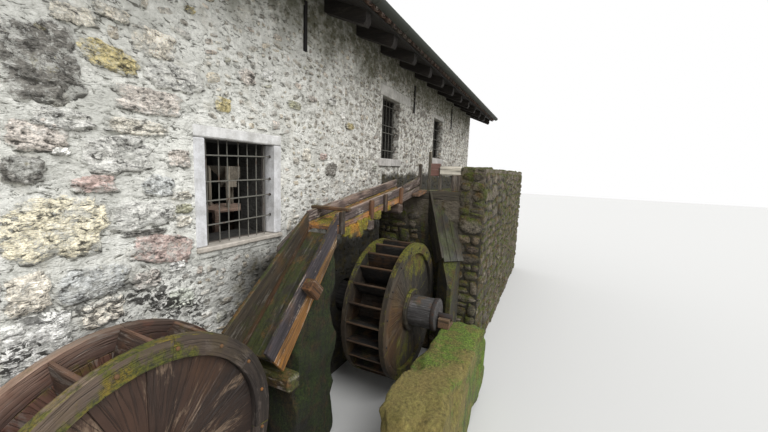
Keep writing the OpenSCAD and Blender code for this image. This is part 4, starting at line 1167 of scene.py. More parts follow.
@dataclass
class Masonry:
    """Walls, stones round the openings, the headrace and the piers."""

    course_top: float = HEIGHT - 0.02
    near_end: float = 5.4
    race_top: float = 3.7
    race_in: float = 1.66
    race_out: float = 2.11
    frame_w: float = 0.125
    frame_t: float = 0.22
    shaft_r: float = 0.34
    patterns: list[bpy.types.Mesh] = field(
        default_factory=lambda: [facing_pattern(*pair) for pair in enumerate(PATTERN_SIDES)])

    def front_holes(self) -> list[Rect]:
        """Places on the wheel wall that small stones keep clear of."""
        x, z, w, h = FIRST_WINDOW
        f, r = self.frame_w + 0.004, self.shaft_r
        return [(x - f, z - f, x + w + f, z + h + f), *window_holes(PLAIN_WINDOWS),
                *((x - r, z - r, x + r, z + r) for x, z in AXLES),
                *((x0, z0, x1, z1) for x0, x1, z0, z1, _, _ in HERO_STONES)]

    def build_front(self) -> None:
        """Lays the wheel wall's stones: large ones near the camera, small ones further along."""
        heroes = Part("front_wall_large_stones", 5)
        for x0, x1, z0, z1, tone, tilt in HERO_STONES:
            x, y = turned(AHEAD, UP, tilt)
            place = axes(at((x0 + x1) / 2, -0.03, (z0 + z1) / 2), x * (x1 - x0) * 1.08,
                         y * (z1 - z0) * 1.12, OUT * 0.064)
            heroes.take(large_stone(heroes.rng), place, tone)
        heroes.done(Finish.WALL_STONE)
        holes, split = self.front_holes(), self.near_end
        near = Part("front_wall_near_stones", 11)
        Panel(at(0.0, 0.0, 0.0), AHEAD, UP, OUT, split, self.course_top, holes).lay(
            near, self.patterns, lambda u: 0.30 if u < 4.0 else 0.22, share=0.8, fade=0.45,
            loose=0.45)
        near.done(Finish.FAR_STONE)
        shifted = [(a - split, b, c - split, d) for a, b, c, d in holes]
        shifted.append((RACE_X - split, 0.0, 11.0, RACE_BED))
        far = Part("front_wall_far_stones", 12)
        Panel(at(split, 0.0, 0.0), AHEAD, UP, OUT, LENGTH - split, self.course_top, shifted).lay(
            far, self.patterns, lambda u: 0.21 if u < 5.0 else 0.26, share=0.72, fade=0.55,
            loose=0.5)
        far.done(Finish.FAR_STONE)
        reveals = Part("window_reveal_stones", 13)
        for x, z, w, h, *_ in PLAIN_WINDOWS:
            for side, out in ((x, AHEAD), (x + w, -AHEAD)):
                Panel(at(side, -0.005, z), -OUT, UP, out, 0.5, h).lay(
                    reveals, self.patterns, 0.2, 0.02, share=0.9, fade=0.3, loose=0.2)
        reveals.done(Finish.FAR_STONE)

    def build_other_walls(self) -> None:
        """Lays the stones of the gables and the back wall."""
        gables = Part("gable_stones", 21)

        def top(u: float) -> float:
            """Height of the gable under the roof boards."""
            return HEIGHT + min(u, DEPTH - u) * ROOF_RISE + 0.16

        for x, out in ((0.0, -AHEAD), (LENGTH, AHEAD)):
            Panel(at(x, 0.0, 0.0), -OUT, UP, out, DEPTH, 7.4, (), top).lay(
                gables, self.patterns, 0.42, share=0.9, fade=0.2, loose=0.3)
        gables.done(Finish.WALL_STONE)
        back = Part("back_wall_stones", 22)
        x, z, w, h = BACK_DOOR
        holes = [(x, z, x + w, z + h), *window_holes(BACK_WINDOWS)]
        Panel(at(0.0, -DEPTH, 0.0), AHEAD, UP, -OUT, LENGTH, self.course_top, holes).lay(
            back, self.patterns, 0.38, share=0.9, fade=0.2, loose=0.3)
        back.done(Finish.WALL_STONE)

    def stone_block(self, part: Part, low: Vector, high: Vector, tone: Colour,
                    cuts: int = 8) -> None:
        """Adds a sawn stone between two corners, with worn arrises."""
        size = high - low
        lengths = sorted(((size.x, 0), (size.y, 1), (size.z, 2)), reverse=True)
        unit = (AHEAD, -OUT, UP)
        part.board(low, *(unit[i] * length for length, i in lengths), cuts, 0.012, 0.007, tone)

    def build_cut_stones(self) -> None:
        """Builds the cut stones round the windows of both long walls."""
        front = Part("front_window_cut_stones", 31)
        x, z, w, h = FIRST_WINDOW
        f, t = self.frame_w, self.frame_t
        pale, slab = (0.97, 0.96, 0.94), z - 0.058
        self.stone_block(front, at(x - f, 0.012, z + h + 0.006), at(x + w + f, -t, z + h + f), pale)
        self.stone_block(front, at(x - f, 0.04, slab), at(x + w + f, -t, z - 0.003),
                         (0.56, 0.46, 0.33))
        bed = Part("window_sill_bed", 33)
        self.stone_block(bed, at(x - f, 0.012, z - f), at(x + w + f, -t, slab), pale)
        bed.done(Finish.MORTAR)
        for left, tone in ((x - f, (0.95, 0.955, 1.0)), (x + w, (0.97, 0.97, 1.0))):
            self.stone_block(front, at(left, 0.012, z), at(left + f, -t, z + h), tone)
        for x, z, w, h, lintel_l, lintel_h, sill_h in PLAIN_WINDOWS:
            a, middle, low = x - CUT_TAIL, x + w * 0.52, z - sill_h
            self.stone_block(front, at(a, 0.004, z + h), at(a + lintel_l, -t, z + h + lintel_h),
                             (0.62, 0.58, 0.50))
            self.stone_block(front, at(a, 0.04, low), at(middle - 0.004, -t, z),
                             (0.50, 0.45, 0.39), 5)
            self.stone_block(front, at(middle + 0.004, 0.035, low + 0.01),
                             at(x + w + CUT_TAIL, -t, z), (0.42, 0.37, 0.32), 5)
        front.done(Finish.CUT_STONE, "front_window_stones")
        back = Part("back_window_cut_stones", 32)
        for x, z, w, h, lintel_l, lintel_h, sill_h in BACK_WINDOWS:
            a = x - CUT_TAIL
            for z0, end, z1, proud in ((z + h, a + lintel_l, z + h + lintel_h, 0.004),
                                       (z - sill_h, x + w + CUT_TAIL, z, 0.04)):
                self.stone_block(back, at(a, t - DEPTH, z0), at(end, -DEPTH - proud, z1),
                                 (0.68, 0.65, 0.58))
        back.done(Finish.CUT_STONE, "back_window_stones")

    def build_race(self) -> None:
        """Lays the mossy stones of the headrace, its end and its coping."""
        part = Part("headrace_stones", 41)
        run, thick, top = LENGTH - RACE_X, self.race_out - self.race_in, self.race_top - 0.06
        bed, inner = RACE_BED - 0.02, self.race_in
        behind_wheel = [(1.0, 1.4, 1.66, 3.1)]
        for panel in (
                Panel(at(RACE_X, self.race_out, 0.0), AHEAD, UP, OUT, run, top),
                Panel(at(RACE_X, inner, 0.0), OUT, UP, -AHEAD, thick, top),
                Panel(at(RACE_X, 0.0, 0.0), OUT, UP, -AHEAD, inner, bed, behind_wheel),
                Panel(at(LENGTH, 0.0, 0.0), OUT, UP, AHEAD, inner, bed),
                Panel(at(LENGTH, inner, 0.0), OUT, UP, AHEAD, thick, top),
                Panel(at(RACE_X, inner, RACE_BED), AHEAD, UP, -OUT, run,
                      self.race_top - RACE_BED - 0.04)):
            panel.lay(part, self.patterns, 0.42, 0.045, 0.02, 0.2, cool=0.88)
        coping = at(RACE_X - 0.02, inner - 0.02, self.race_top - 0.02)
        Panel(coping, AHEAD, OUT, UP, run, 0.47).lay(
            part, self.patterns, 0.5, 0.055, 0.012, 0.26, cool=0.9)
        part.done(Finish.RACE_STONE)

    def mass(self, part: Part, low: Vector, high: Vector, square: float,
             top: Callable[[float], float] = lambda x: math.inf) -> None:
        """Adds a lumpy mass of stone and moss between two corners, under a top.

        Args:
            part: piece that takes it.
            low: lowest corner.
            high: highest corner.
            square: how square it stays.
            top: gives the height that it may reach from its place along the frame.
        """
        size, middle = high - low, (low + high) / 2
        seed = part.rng.uniform(0, 60)

        def fit(p: Vector) -> Vector:
            """Place of a point of the block of one metre."""
            q = middle + p * size * 1.06
            q += noise.noise_vector(q * 2.6 + AHEAD * seed) * 0.10
            q += noise.noise_vector(q * 9.0 - OUT * seed) * 0.035
            q = Vector([min(max(q[i], low[i]), high[i]) for i in range(3)])
            q.z = min(q.z, top(q.x))
            return q

        part.take(rough_block(26, 0.05, seed, square), fit)

    def build_piers(self) -> None:
        """Builds the mossy piers in the stream and under the chute."""
        part = Part("pier_masses", 51)
        self.mass(part, at(2.6, 1.81, 0.0), at(3.4, 1.31, 1.11), 0.6)
        self.mass(part, at(4.53, 2.46, 0.0), at(7.33, 1.78, 1.2), 0.6)
        part.done(Finish.PIER_MOSS, "bearing_piers")
        part = Part("chute_pier_mass", 52)
        self.mass(part, at(4.56, 0.80, 0.0), at(5.36, 0.0, 2.7), 0.62,
                  lambda x: 2.63 + (x - WALL_LOW.x - 5.33) * 1.2426)
        part.done(Finish.CHUTE_MOSS, "chute_pier")

    def build(self) -> None:
        """Builds and dresses all the masonry."""
        dress(Finish.MORTAR, "front_wall", "back_wall", "gable_walls", "beam_filling")
        dress(Finish.RACE_BED, "headrace_wall", "headrace_bed")
        self.build_front()
        self.build_other_walls()
        self.build_cut_stones()
        self.build_race()
        self.build_piers()
        for mesh in self.patterns:
            bpy.data.meshes.remove(mesh)


@dataclass
class Windows:
    """Iron grilles in the window openings."""

    bar: float = 0.0065
    rail: float = 0.0085

    def grille(self, part: Part, knobs: Part, opening: Sequence[float],
               uprights: Sequence[float], rails: Sequence[float], s: float,
               tilt: float = 0.0) -> None:
        """Adds one grille.

        Args:
            part: piece that takes it.
            knobs: piece that takes the rails' ends.
            opening: left side, sill, width and height of the opening.
            uprights: places of the upright rods.
            rails: heights of the flat rails.
            s: distance from the wall's face, negative inwards.
            tilt: how far the rails rise to the right.
        """
        x0, z0, w, h = opening[:4]
        x1, z1, ahead = x0 + w, z0 + h, s + 0.014
        for x in uprights:
            top = at(x + part.rng.uniform(-0.01, 0.01), s, z1 + 0.03)
            part.rod(at(x, s, z0 - 0.03), top, self.bar, 0.006)
        for z in rails:
            part.rod(at(x0 - 0.03, ahead, z), at(x1 + 0.03, ahead, z + tilt), self.rail, 0.005)
            for x, rise in ((x0, z), (x1, z + tilt)):
                knobs.rod(at(x - 0.014, ahead, rise), at(x + 0.014, ahead, rise), self.rail * 2.1)

    def build(self) -> None:
        """Builds all the grilles."""
        front, knobs = Part("front_window_grilles", 61), Part("grille_knobs", 63)
        near, far = PLAIN_WINDOWS
        self.grille(front, knobs, FIRST_WINDOW, (4.17, 4.32, 4.44, 4.59, 4.72, 4.85, 4.98),
                    (3.69, 3.41, 3.21, 2.95), -0.08, 0.03)
        self.grille(front, knobs, near, (8.22, 8.38, 8.53, 8.68, 8.84),
                    (4.95, 4.55, 4.40, 4.03), -0.12)
        self.grille(front, knobs, far, (11.6, 11.86, 12.12), (4.3, 4.58, 4.86), -0.12)
        front.done(Finish.GRILLE)
        back = Part("back_window_grilles", 62)
        for window in BACK_WINDOWS:
            uprights = [window[0] + window[2] * (i + 1) / 6 for i in range(5)]
            self.grille(back, knobs, window, uprights, (3.63, 3.98, 4.33), 0.12 - DEPTH)
        back.done(Finish.GRILLE)
        knobs.done(Finish.RUSTY_IRON)


@dataclass
class BackDoor:
    """Boarded door in the back wall, with its ledges, strap hinges and handle."""

    opening: Rect = BACK_DOOR
    face: float = 0.22 - DEPTH
    boards: int = 7

    def build(self) -> None:
        """Builds the door from boards, ledges and iron."""
        x, z, width, height = self.opening
        part = Part("back_door_boards", 71)
        step = width / self.boards
        for i in range(self.boards):
            part.board(at(x + i * step + 0.002, self.face + 0.035, z + 0.004),
                       UP * (height - 0.008), AHEAD * (step - 0.004), -OUT * 0.03, 8, 0.004, 0.002)
        for rise in (0.3, 1.0, 1.7):
            part.board(at(x + 0.05, self.face + 0.06, z + rise), AHEAD * (width - 0.1),
                       UP * 0.13, -OUT * 0.028, 4, 0.004, 0.002)
        part.done(Finish.DOOR_BOARD, "back_door")
        iron = Part("back_door_iron", 72)
        for rise in (0.36, 1.76):
            iron.board(at(x + 0.01, self.face + 0.005, z + rise), AHEAD * 0.8, UP * 0.04,
                       -OUT * 0.008, 6, 0.002, 0.001)
        handle = at(x + 1.0, self.face - 0.04, z + 0.95)
        iron.rod(handle, handle + UP * 0.18, 0.009)
        iron.done(Finish.RUSTY_IRON)


@dataclass
class Roof:
    """Tiles, ridge tiles, timbers and gutters."""

    verge: float = 0.65
    lap: float = 0.82
    lift: float = (0.19 + 0.028) / math.cos(ROOF_PITCH)
    column: float = 0.2035
    row: float = 0.335
    bracket_r: float = 0.0805
    tones: tuple[Colour, ...] = (
        (0.22, 0.135, 0.10), (0.18, 0.12, 0.095), (0.26, 0.165, 0.12), (0.15, 0.11, 0.09),
        (0.22, 0.18, 0.145), (0.13, 0.10, 0.085))

    def tile(self, radius: float, steps: int, length: float, taper: float) -> bpy.types.Mesh:
        """Makes a half round tile that lies along x, open below, or above for a radius under 0."""
        shape = bmesh.new()
        start = shape.verts.new((0.0, radius, 0.0))
        bmesh.ops.spin(shape, geom=[start], cent=(0, 0, 0), axis=(1, 0, 0), dvec=(0, 0, 0),
                       angle=math.pi, steps=steps)
        far = bmesh.ops.extrude_edge_only(shape, edges=shape.edges[:])
        verts = [g for g in far["geom"] if isinstance(g, bmesh.types.BMVert)]
        bmesh.ops.translate(shape, verts=verts, vec=(length, 0, 0))
        bmesh.ops.scale(shape, verts=verts, vec=(1.0, taper, taper))
        bmesh.ops.scale(shape, verts=shape.verts[:], vec=(1.0, 1.0, 0.72))
        bmesh.ops.recalc_face_normals(shape, faces=shape.faces[:])
        geom = shape.faces[:] + shape.edges[:] + shape.verts[:]
        bmesh.ops.solidify(shape, geom=geom, thickness=0.014)
        bmesh.ops.recalc_face_normals(shape, faces=shape.faces[:])
        return to_mesh(shape)

    def slope(self, name: str, back: bool, seed: int, *nodes: str) -> None:
        """Lays the tiles of one slope.

        Args:
            name: name of the piece.
            back: whether it is the slope away from the wheels.
            seed: start of its random numbers.
            nodes: nodes that it stands for.
        """
        part = Part(name, seed)
        cap = self.tile(0.082, 5, self.row + 0.09, 0.8)
        pan = self.tile(-0.088, 4, self.row + 0.07, 0.9)
        run = Vector((0, math.cos(ROOF_PITCH), math.sin(ROOF_PITCH)))
        square = Vector((0, -math.sin(ROOF_PITCH), math.cos(ROOF_PITCH)))
        side = AHEAD
        eave = at(-self.verge, self.lap, HEIGHT - self.lap * ROOF_RISE + self.lift)
        if back:
            eave.y = 2 * RIDGE_Y - eave.y
            run.y, square.y, side = -run.y, -square.y, -AHEAD
        slope_length = (HALF_DEPTH + self.lap) / math.cos(ROOF_PITCH)
        across = LENGTH + 2 * self.verge
        columns = round(across / self.column)
        pitch = (across - 0.02) / columns
        for r in range(math.ceil(slope_length / self.row)):
            start = r * self.row
            squeeze = min(1.0, (slope_length - start - 0.02) / (self.row + 0.08))
            lean = (run + square * 0.02).normalized() * squeeze
            for c in range(columns):
                x = 0.01 + (c + 0.5) * pitch
                for pattern, lift, shift, dim in ((pan, 0.060, 0.0, 0.62), (cap, 0.030, 0.5, 1.0)):
                    if shift and c == columns - 1:
                        continue
                    jog = part.rng.uniform(-0.006, 0.006)
                    tip = square * (lift + part.rng.uniform(0, 0.004))
                    tip += AHEAD * (x + shift * pitch + jog)
                    tone = part.rng.choice(self.tones)
                    level = part.rng.uniform(0.7, 1.15) * dim
                    origin = eave + run * (start + part.rng.uniform(0.0, 0.012)) + tip
                    part.stamp(pattern, axes(origin, lean, side, square),
                               [value * level for value in tone])
        for mesh in (cap, pan):
            bpy.data.meshes.remove(mesh)
        part.done(Finish.CLAY, *nodes)

    def ridge(self) -> None:
        """Lays the ridge tiles and their mortar bed."""
        part = Part("ridge_tile_row", 83)
        low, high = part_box("ridge_tiles")
        count, lap = 38, 0.035
        step, middle = (high.x - low.x) / count, (low.y + high.y) / 2
        pattern = self.tile(0.128, 7, step + lap, 0.9)
        for i in range(count):
            length = 1.0 if i < count - 1 else step / (step + lap)
            tone = part.rng.choice(self.tones)
            corner = Vector((low.x + i * step, middle, high.z - 0.106))
            part.stamp(pattern, axes(corner, AHEAD * length, -OUT, UP), tone)
        bpy.data.meshes.remove(pattern)
        part.done(Finish.CLAY, "ridge_tiles")
        bed = Part("ridge_mortar_bed", 85)
        half, margin = 0.108, 0.03
        base = HEIGHT + HALF_DEPTH * ROOF_RISE + self.lift - 0.043
        bed.board(Vector((low.x + margin, middle + half, base)),
                  AHEAD * (high.x - low.x - 2 * margin), OUT * 2 * half,
                  UP * (high.z - 0.094 - base), 90, 0.02, 0.009, PLAIN)
        bed.done(Finish.MORTAR)

    def hangers(self) -> None:
        """Builds the gutters' brackets."""
        part = Part("gutter_brackets", 84)
        low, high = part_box("gutters")
        for middle in (low.y + 0.08, high.y - 0.08):
            for i in range(17):
                r = self.bracket_r
                shape = arc_shape(r, r + 0.004, -0.012, 0.012, math.pi, 10)
                part.take(shape, axes(Vector((low.x + 0.65 + i, middle, high.z)), -OUT, -UP, AHEAD))
        part.done(Finish.GUTTER)

    def build(self) -> None:
        """Builds and dresses the roof."""
        dress(Finish.ROOF_TIMBER, "rafters")
        dress(Finish.ROOF_BOARD, "ridge_beam", "roof_boards")
        dress(Finish.GUTTER, "gutters")
        self.slope("front_slope_tiles", False, 81, "roof_covering")
        self.slope("back_slope_tiles", True, 82)
        self.ridge()
        self.hangers()


@dataclass
class Flume:
    """Long trough, steep chute, sluice and spillway."""

    x_low: float = 5.33
    z_low: float = 3.0347
    slope: float = math.tan(math.radians(8.0))
    s_in: float = 0.31
    s_out: float = 0.81
    plank: float = 0.05
    side: float = 0.26
    water: float = 0.17
    chute_angle: float = math.radians(46.0)
    inner_slope: float = math.tan(math.radians(39.5))
    gate_s: float = 1.06

    def top(self, x: float) -> float:
        """Height of the trough's side boards."""
        return self.z_low + (x - self.x_low) * self.slope

    def chute(self, x: float) -> float:
        """Height of the chute's outer side board."""
        return self.z_low - 0.02 + (x - self.x_low) * math.tan(self.chute_angle)

    @property
    def floor_w(self) -> float:
        """Width of each of the two floor boards."""
        return (self.s_out - self.s_in - 2 * self.plank) / 2

    def trough(self) -> None:
        """Builds the long trough: two boards to each side, with the floor between them."""
        run = RACE_X - self.x_low
        along = Vector((run, 0, run * self.slope))
        upper, lower = Part("trough_upper_boards", 101), Part("trough_lower_boards", 102)
        for s in (self.s_in + self.plank, self.s_out):
            base = at(self.x_low, s, self.z_low - self.side)
            # painted highlight: the top face and top edge of each upper board are painted far
            # lighter than the rest
            upper.board(base + UP * 0.118, along, UP * 0.142, -OUT * self.plank, 18, 0.007, 0.008,
                        lambda p: (2.3, 2.2, 2.1) if p.y > 0.136 else (0.8, 0.76, 0.78))
            lower.board(base, along, UP * 0.114, -OUT * (self.plank - 0.004), 18, 0.007, 0.009)
        width, bed = self.floor_w, self.z_low - self.water - self.plank
        for i in (1, 2):
            base = at(self.x_low, self.s_in + self.plank + width * i, bed)
            lower.board(base, along, -OUT * (width - 0.003), UP * self.plank, 14, 0.004, 0.004)
        upper.done(Finish.FLUME, "trough_sides")
        lower.done(Finish.FLUME_LOW, "trough_floor")

    def trims(self) -> None:
        """Builds the battens, the tie, the cheek, the head board and the splash board."""
        part, batten = Part("flume_battens", 103), 0.045
        for dx, lift, tone in ((0.02, 0.02, (0.35, 0.4, 0.45)), (0.82, 0.0, (0.7, 0.55, 0.5)),
                               (1.29, 0.0, (0.45, 0.45, 0.45)), (1.91, 0.0, (1.0, 0.8, 0.65))):
            x = self.x_low + dx
            part.board(at(x, self.s_out + batten, self.top(x) - self.side - 0.01),
                       UP * (self.side + lift + 0.02), AHEAD * 0.09, -OUT * batten, 4, 0.008,
                       0.005, tone)
        x = self.x_low + 0.17
        part.board(at(x, self.s_in - 0.06, self.top(x) - 0.01),
                   OUT * (self.s_out - self.s_in + 0.10), AHEAD * 0.1, UP * 0.045, 6, 0.010,
                   0.005, (0.75, 0.7, 0.62))
        x = self.x_low - 0.69
        run, square = turned(AHEAD, UP, self.chute_angle)
        run, square = run * 0.15, square * -0.235
        corner = at(x + 0.09, self.s_out, self.chute(x) - 0.17 + 0.115) - square / 2 - run / 2
        part.board(corner, square, run, OUT * 0.14, 7, 0.014, 0.022, (0.75, 0.55, 0.34))
        part.done(Finish.CLEAT, "flume_cleats")
        head = Part("trough_head_boards", 104)
        x = self.x_low + 2.0
        base = at(x, self.s_out + batten, self.top(x) - self.side)
        along = Vector((RACE_X - x, 0, (RACE_X - x) * self.slope))
        head.board(base, along, UP * 0.145, -OUT * batten, 8, 0.008, 0.006)
        head.board(base + UP * 0.15, along + UP * 0.04, UP * 0.14, -OUT * 0.04, 8, 0.008, 0.006)
        head.done(Finish.FLUME, "trough_head_board")
        splash = Part("splash_boards", 105)
        low, high = self.x_low - 0.52, self.x_low + 0.17
        inner = self.z_low - 0.02 + (low - self.x_low) * self.inner_slope
        start = at(low, self.s_in, inner - 0.10)
        end = at(high, self.s_in, self.top(high) - 0.16)
        splash.board(start, end - start, UP * 0.16, -OUT * 0.028, 8, 0.006, 0.004,
                     (1.6, 1.55, 1.4))
        splash.done(Finish.CHUTE, "splash_board")

    def hanging_moss(self) -> None:
        """Builds the moss that hangs from the trough's lower boards."""
        part = Part("trough_moss_tufts", 116)
        for x, w, h in ((5.52, 0.17, 0.13), (5.68, 0.22, 0.20), (5.86, 0.20, 0.24),
                        (6.02, 0.16, 0.19), (6.34, 0.16, 0.12), (6.46, 0.14, 0.14),
                        (6.82, 0.12, 0.08), (5.44, 0.10, 0.09), (6.18, 0.10, 0.10)):
            shape = rough_block(6, 0.30, part.rng.uniform(0, 60), 0.3)
            middle = at(x, self.s_out + 0.004, self.top(x) - self.side + 0.05 - h / 2)
            part.take(shape, Matrix.Translation(middle) @ Matrix.Diagonal((w, 0.055, h, 1.0)))
        part.done(Finish.TROUGH_MOSS)

    def steep_chute(self) -> None:
        """Builds the steep chute: an upper board and a stringer outside, inner side and floor."""
        head, head_low, head_foot = (5.33, 3.0147), (5.33, 2.770), (5.33, 2.641)
        foot, foot_low, heel = (4.105, 1.746), (4.2107, 1.6107), (4.354, 1.428)
        inner_foot, mid_foot, mid_head = (3.982, 1.9035), (4.168, 1.666), (5.33, 2.828)
        bed_head, bed_foot = (5.33, 2.698), (4.2417, 1.571)

        def quad(part: Part, s: float, thick: float, corners: Sequence[tuple[float, float]],
                 tone: Tone) -> None:
            """Adds a board from its corners on the wall's plane."""
            part.quad_board([at(x, s, z) for x, z in corners], OUT * thick, tone)

        outer, outer_s = Part("chute_outer_boards", 106), self.s_out - self.plank
        quad(outer, outer_s, self.plank, (foot, head, head_low, foot_low), (0.85, 0.82, 0.9))
        outer.done(Finish.CHUTE, "chute_outer_side")
        stringer = Part("chute_stringer_board", 115)
        near, far = Vector((1.05, 1.0, 0.9)), Vector((0.75, 0.95, 1.5))
        quad(stringer, outer_s, self.plank - 0.005, (foot_low, head_low, head_foot, heel),
             lambda p: near.lerp(far, min(1.0, max(0.0, p.x - 0.75))))
        stringer.done(Finish.STRINGER)
        inner = Part("chute_inner_boards", 107)
        quad(inner, self.s_in, self.plank, (inner_foot, head, mid_head, mid_foot),
             (1.1, 1.1, 1.1))
        quad(inner, self.s_in, self.plank - 0.004, (mid_foot, mid_head, head_foot, heel),
             (1.5, 1.0, 0.7))
        inner.done(Finish.CHUTE_IN, "chute_inner_side")
        floor, width = Part("chute_floor_boards", 108), self.floor_w
        for i in (0, 1):
            quad(floor, self.s_in + self.plank + width * i + 0.001, width - 0.003,
                 (foot_low, head_low, bed_head, bed_foot), (0.7, 0.8, 0.9))
        floor.done(Finish.CHUTE_IN, "chute_floor")

    def bearers(self) -> None:
        """Builds the rough beams that carry the flume."""
        part = Part("flume_beams", 109)
        foot = self.chute(self.x_low) - 0.26 / math.cos(self.chute_angle)
        foot -= 1.01 * math.tan(self.chute_angle) * 1.2
        places = [(dx, self.top(self.x_low + dx) - self.side, 0.045, 0.16, (0.6, 0.55, 0.5))
                  for dx in (0.78, 1.87)]
        for dx, z, past, width, tone in (*places, (-1.01, foot, 0.10, 0.19,
                                                   (0.22, 0.19, 0.12, 1.16))):
            part.board(at(self.x_low + dx, 0.0, z - 0.18), OUT * (self.s_out + past),
                       AHEAD * width, UP * 0.178, 8, 0.03, 0.012, tone)
        part.done(Finish.FLUME, "flume_bearers")

    def sluice(self) -> None:
        """Builds the sluice's posts, sill beam, head and gate, and the board before it."""
        part = Part("sluice_posts", 110)
        x, t, wide = RACE_X, 0.08, 1.66
        sill = self.top(x) - self.water
        inner, outer = self.gate_s - 0.05, self.gate_s + 0.17
        for s, w, top in ((0.81, 0.06, 3.75), (inner, 0.05, 3.99), (outer, 0.05, 3.7),
                          (1.48, 0.18, 3.56)):
            part.board(at(x, s, sill), UP * (top - sill), OUT * w, AHEAD * t, 6, 0.008, 0.004)
        part.board(at(x, 0.0, RACE_BED), OUT * wide, UP * (sill - RACE_BED), AHEAD * t, 10, 0.01,
                   0.006)
        beam = Part("sluice_head_beam", 117)
        beam.board(at(x - 0.004, outer, 3.55), OUT * (wide - outer), UP * 0.17,
                   AHEAD * (t + 0.004), 8, 0.04, 0.012, PLAIN)
        beam.done(Finish.BEAM)
        part.done(Finish.SLUICE, "sluice_frame")
        panel = Part("sluice_gate_boards", 111)
        low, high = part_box("sluice_gate")
        size = high - low
        for i in (0, 1):
            panel.board(Vector((low.x, high.y, low.z + i * size.z / 2 + 0.001)), OUT * size.y,
                        UP * (size.z / 2 - 0.002), AHEAD * size.x, 3, 0.003, 0.0)
        panel.done(Finish.GATE, "sluice_gate", body="gate")
        feed = Part("feed_boards", 112)
        low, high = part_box("feed_board")
        size = high - low
        feed.board(Vector((low.x, high.y, low.z)), Vector((size.x, 0, size.z - 0.05)),
                   OUT * size.y, UP * 0.05, 4, 0.006, 0.005, (0.5, 0.55, 0.6, 0.8))
        feed.done(Finish.FLUME_LOW, "feed_board")

    def spillway(self) -> None:
        """Builds the dark board and the floor of the spillway."""
        turn, pitch = math.radians(42.0), math.radians(59.0)
        level = Vector((-math.cos(turn), -math.sin(turn), 0))
        down = level * math.cos(pitch) - UP * math.sin(pitch)
        square = level * math.sin(pitch) + UP * math.cos(pitch)
        side = Vector((math.sin(turn), -math.cos(turn), 0))
        origin = at(RACE_X, self.gate_s, self.top(RACE_X) - self.water)
        board, width = Part("spillway_side_boards", 113), 0.165
        for lift in (0.0, 0.17):
            corner = origin + UP * 0.01 - square * (lift + width) + down * 0.02
            board.board(corner, down * 1.37, square * width, side * 0.048, 10, 0.007, 0.006)
        board.done(Finish.SPILLWAY, "spillway_side")
        floor = Part("spillway_floor_boards", 114)
        for i in range(3):
            start = origin - UP * 0.06 + side * (0.052 + i * 0.133) + down * 0.25
            floor.board(start - square * 0.05, down * 1.14, side * 0.13, square * 0.048, 8,
                        0.005, 0.004)
        floor.done(Finish.SPILLWAY, "spillway_floor")

    def build(self) -> None:
        """Builds the whole flume."""
        self.trough()
        self.trims()
        self.hanging_moss()
        self.steep_chute()
        self.bearers()
        self.sluice()
        self.spillway()


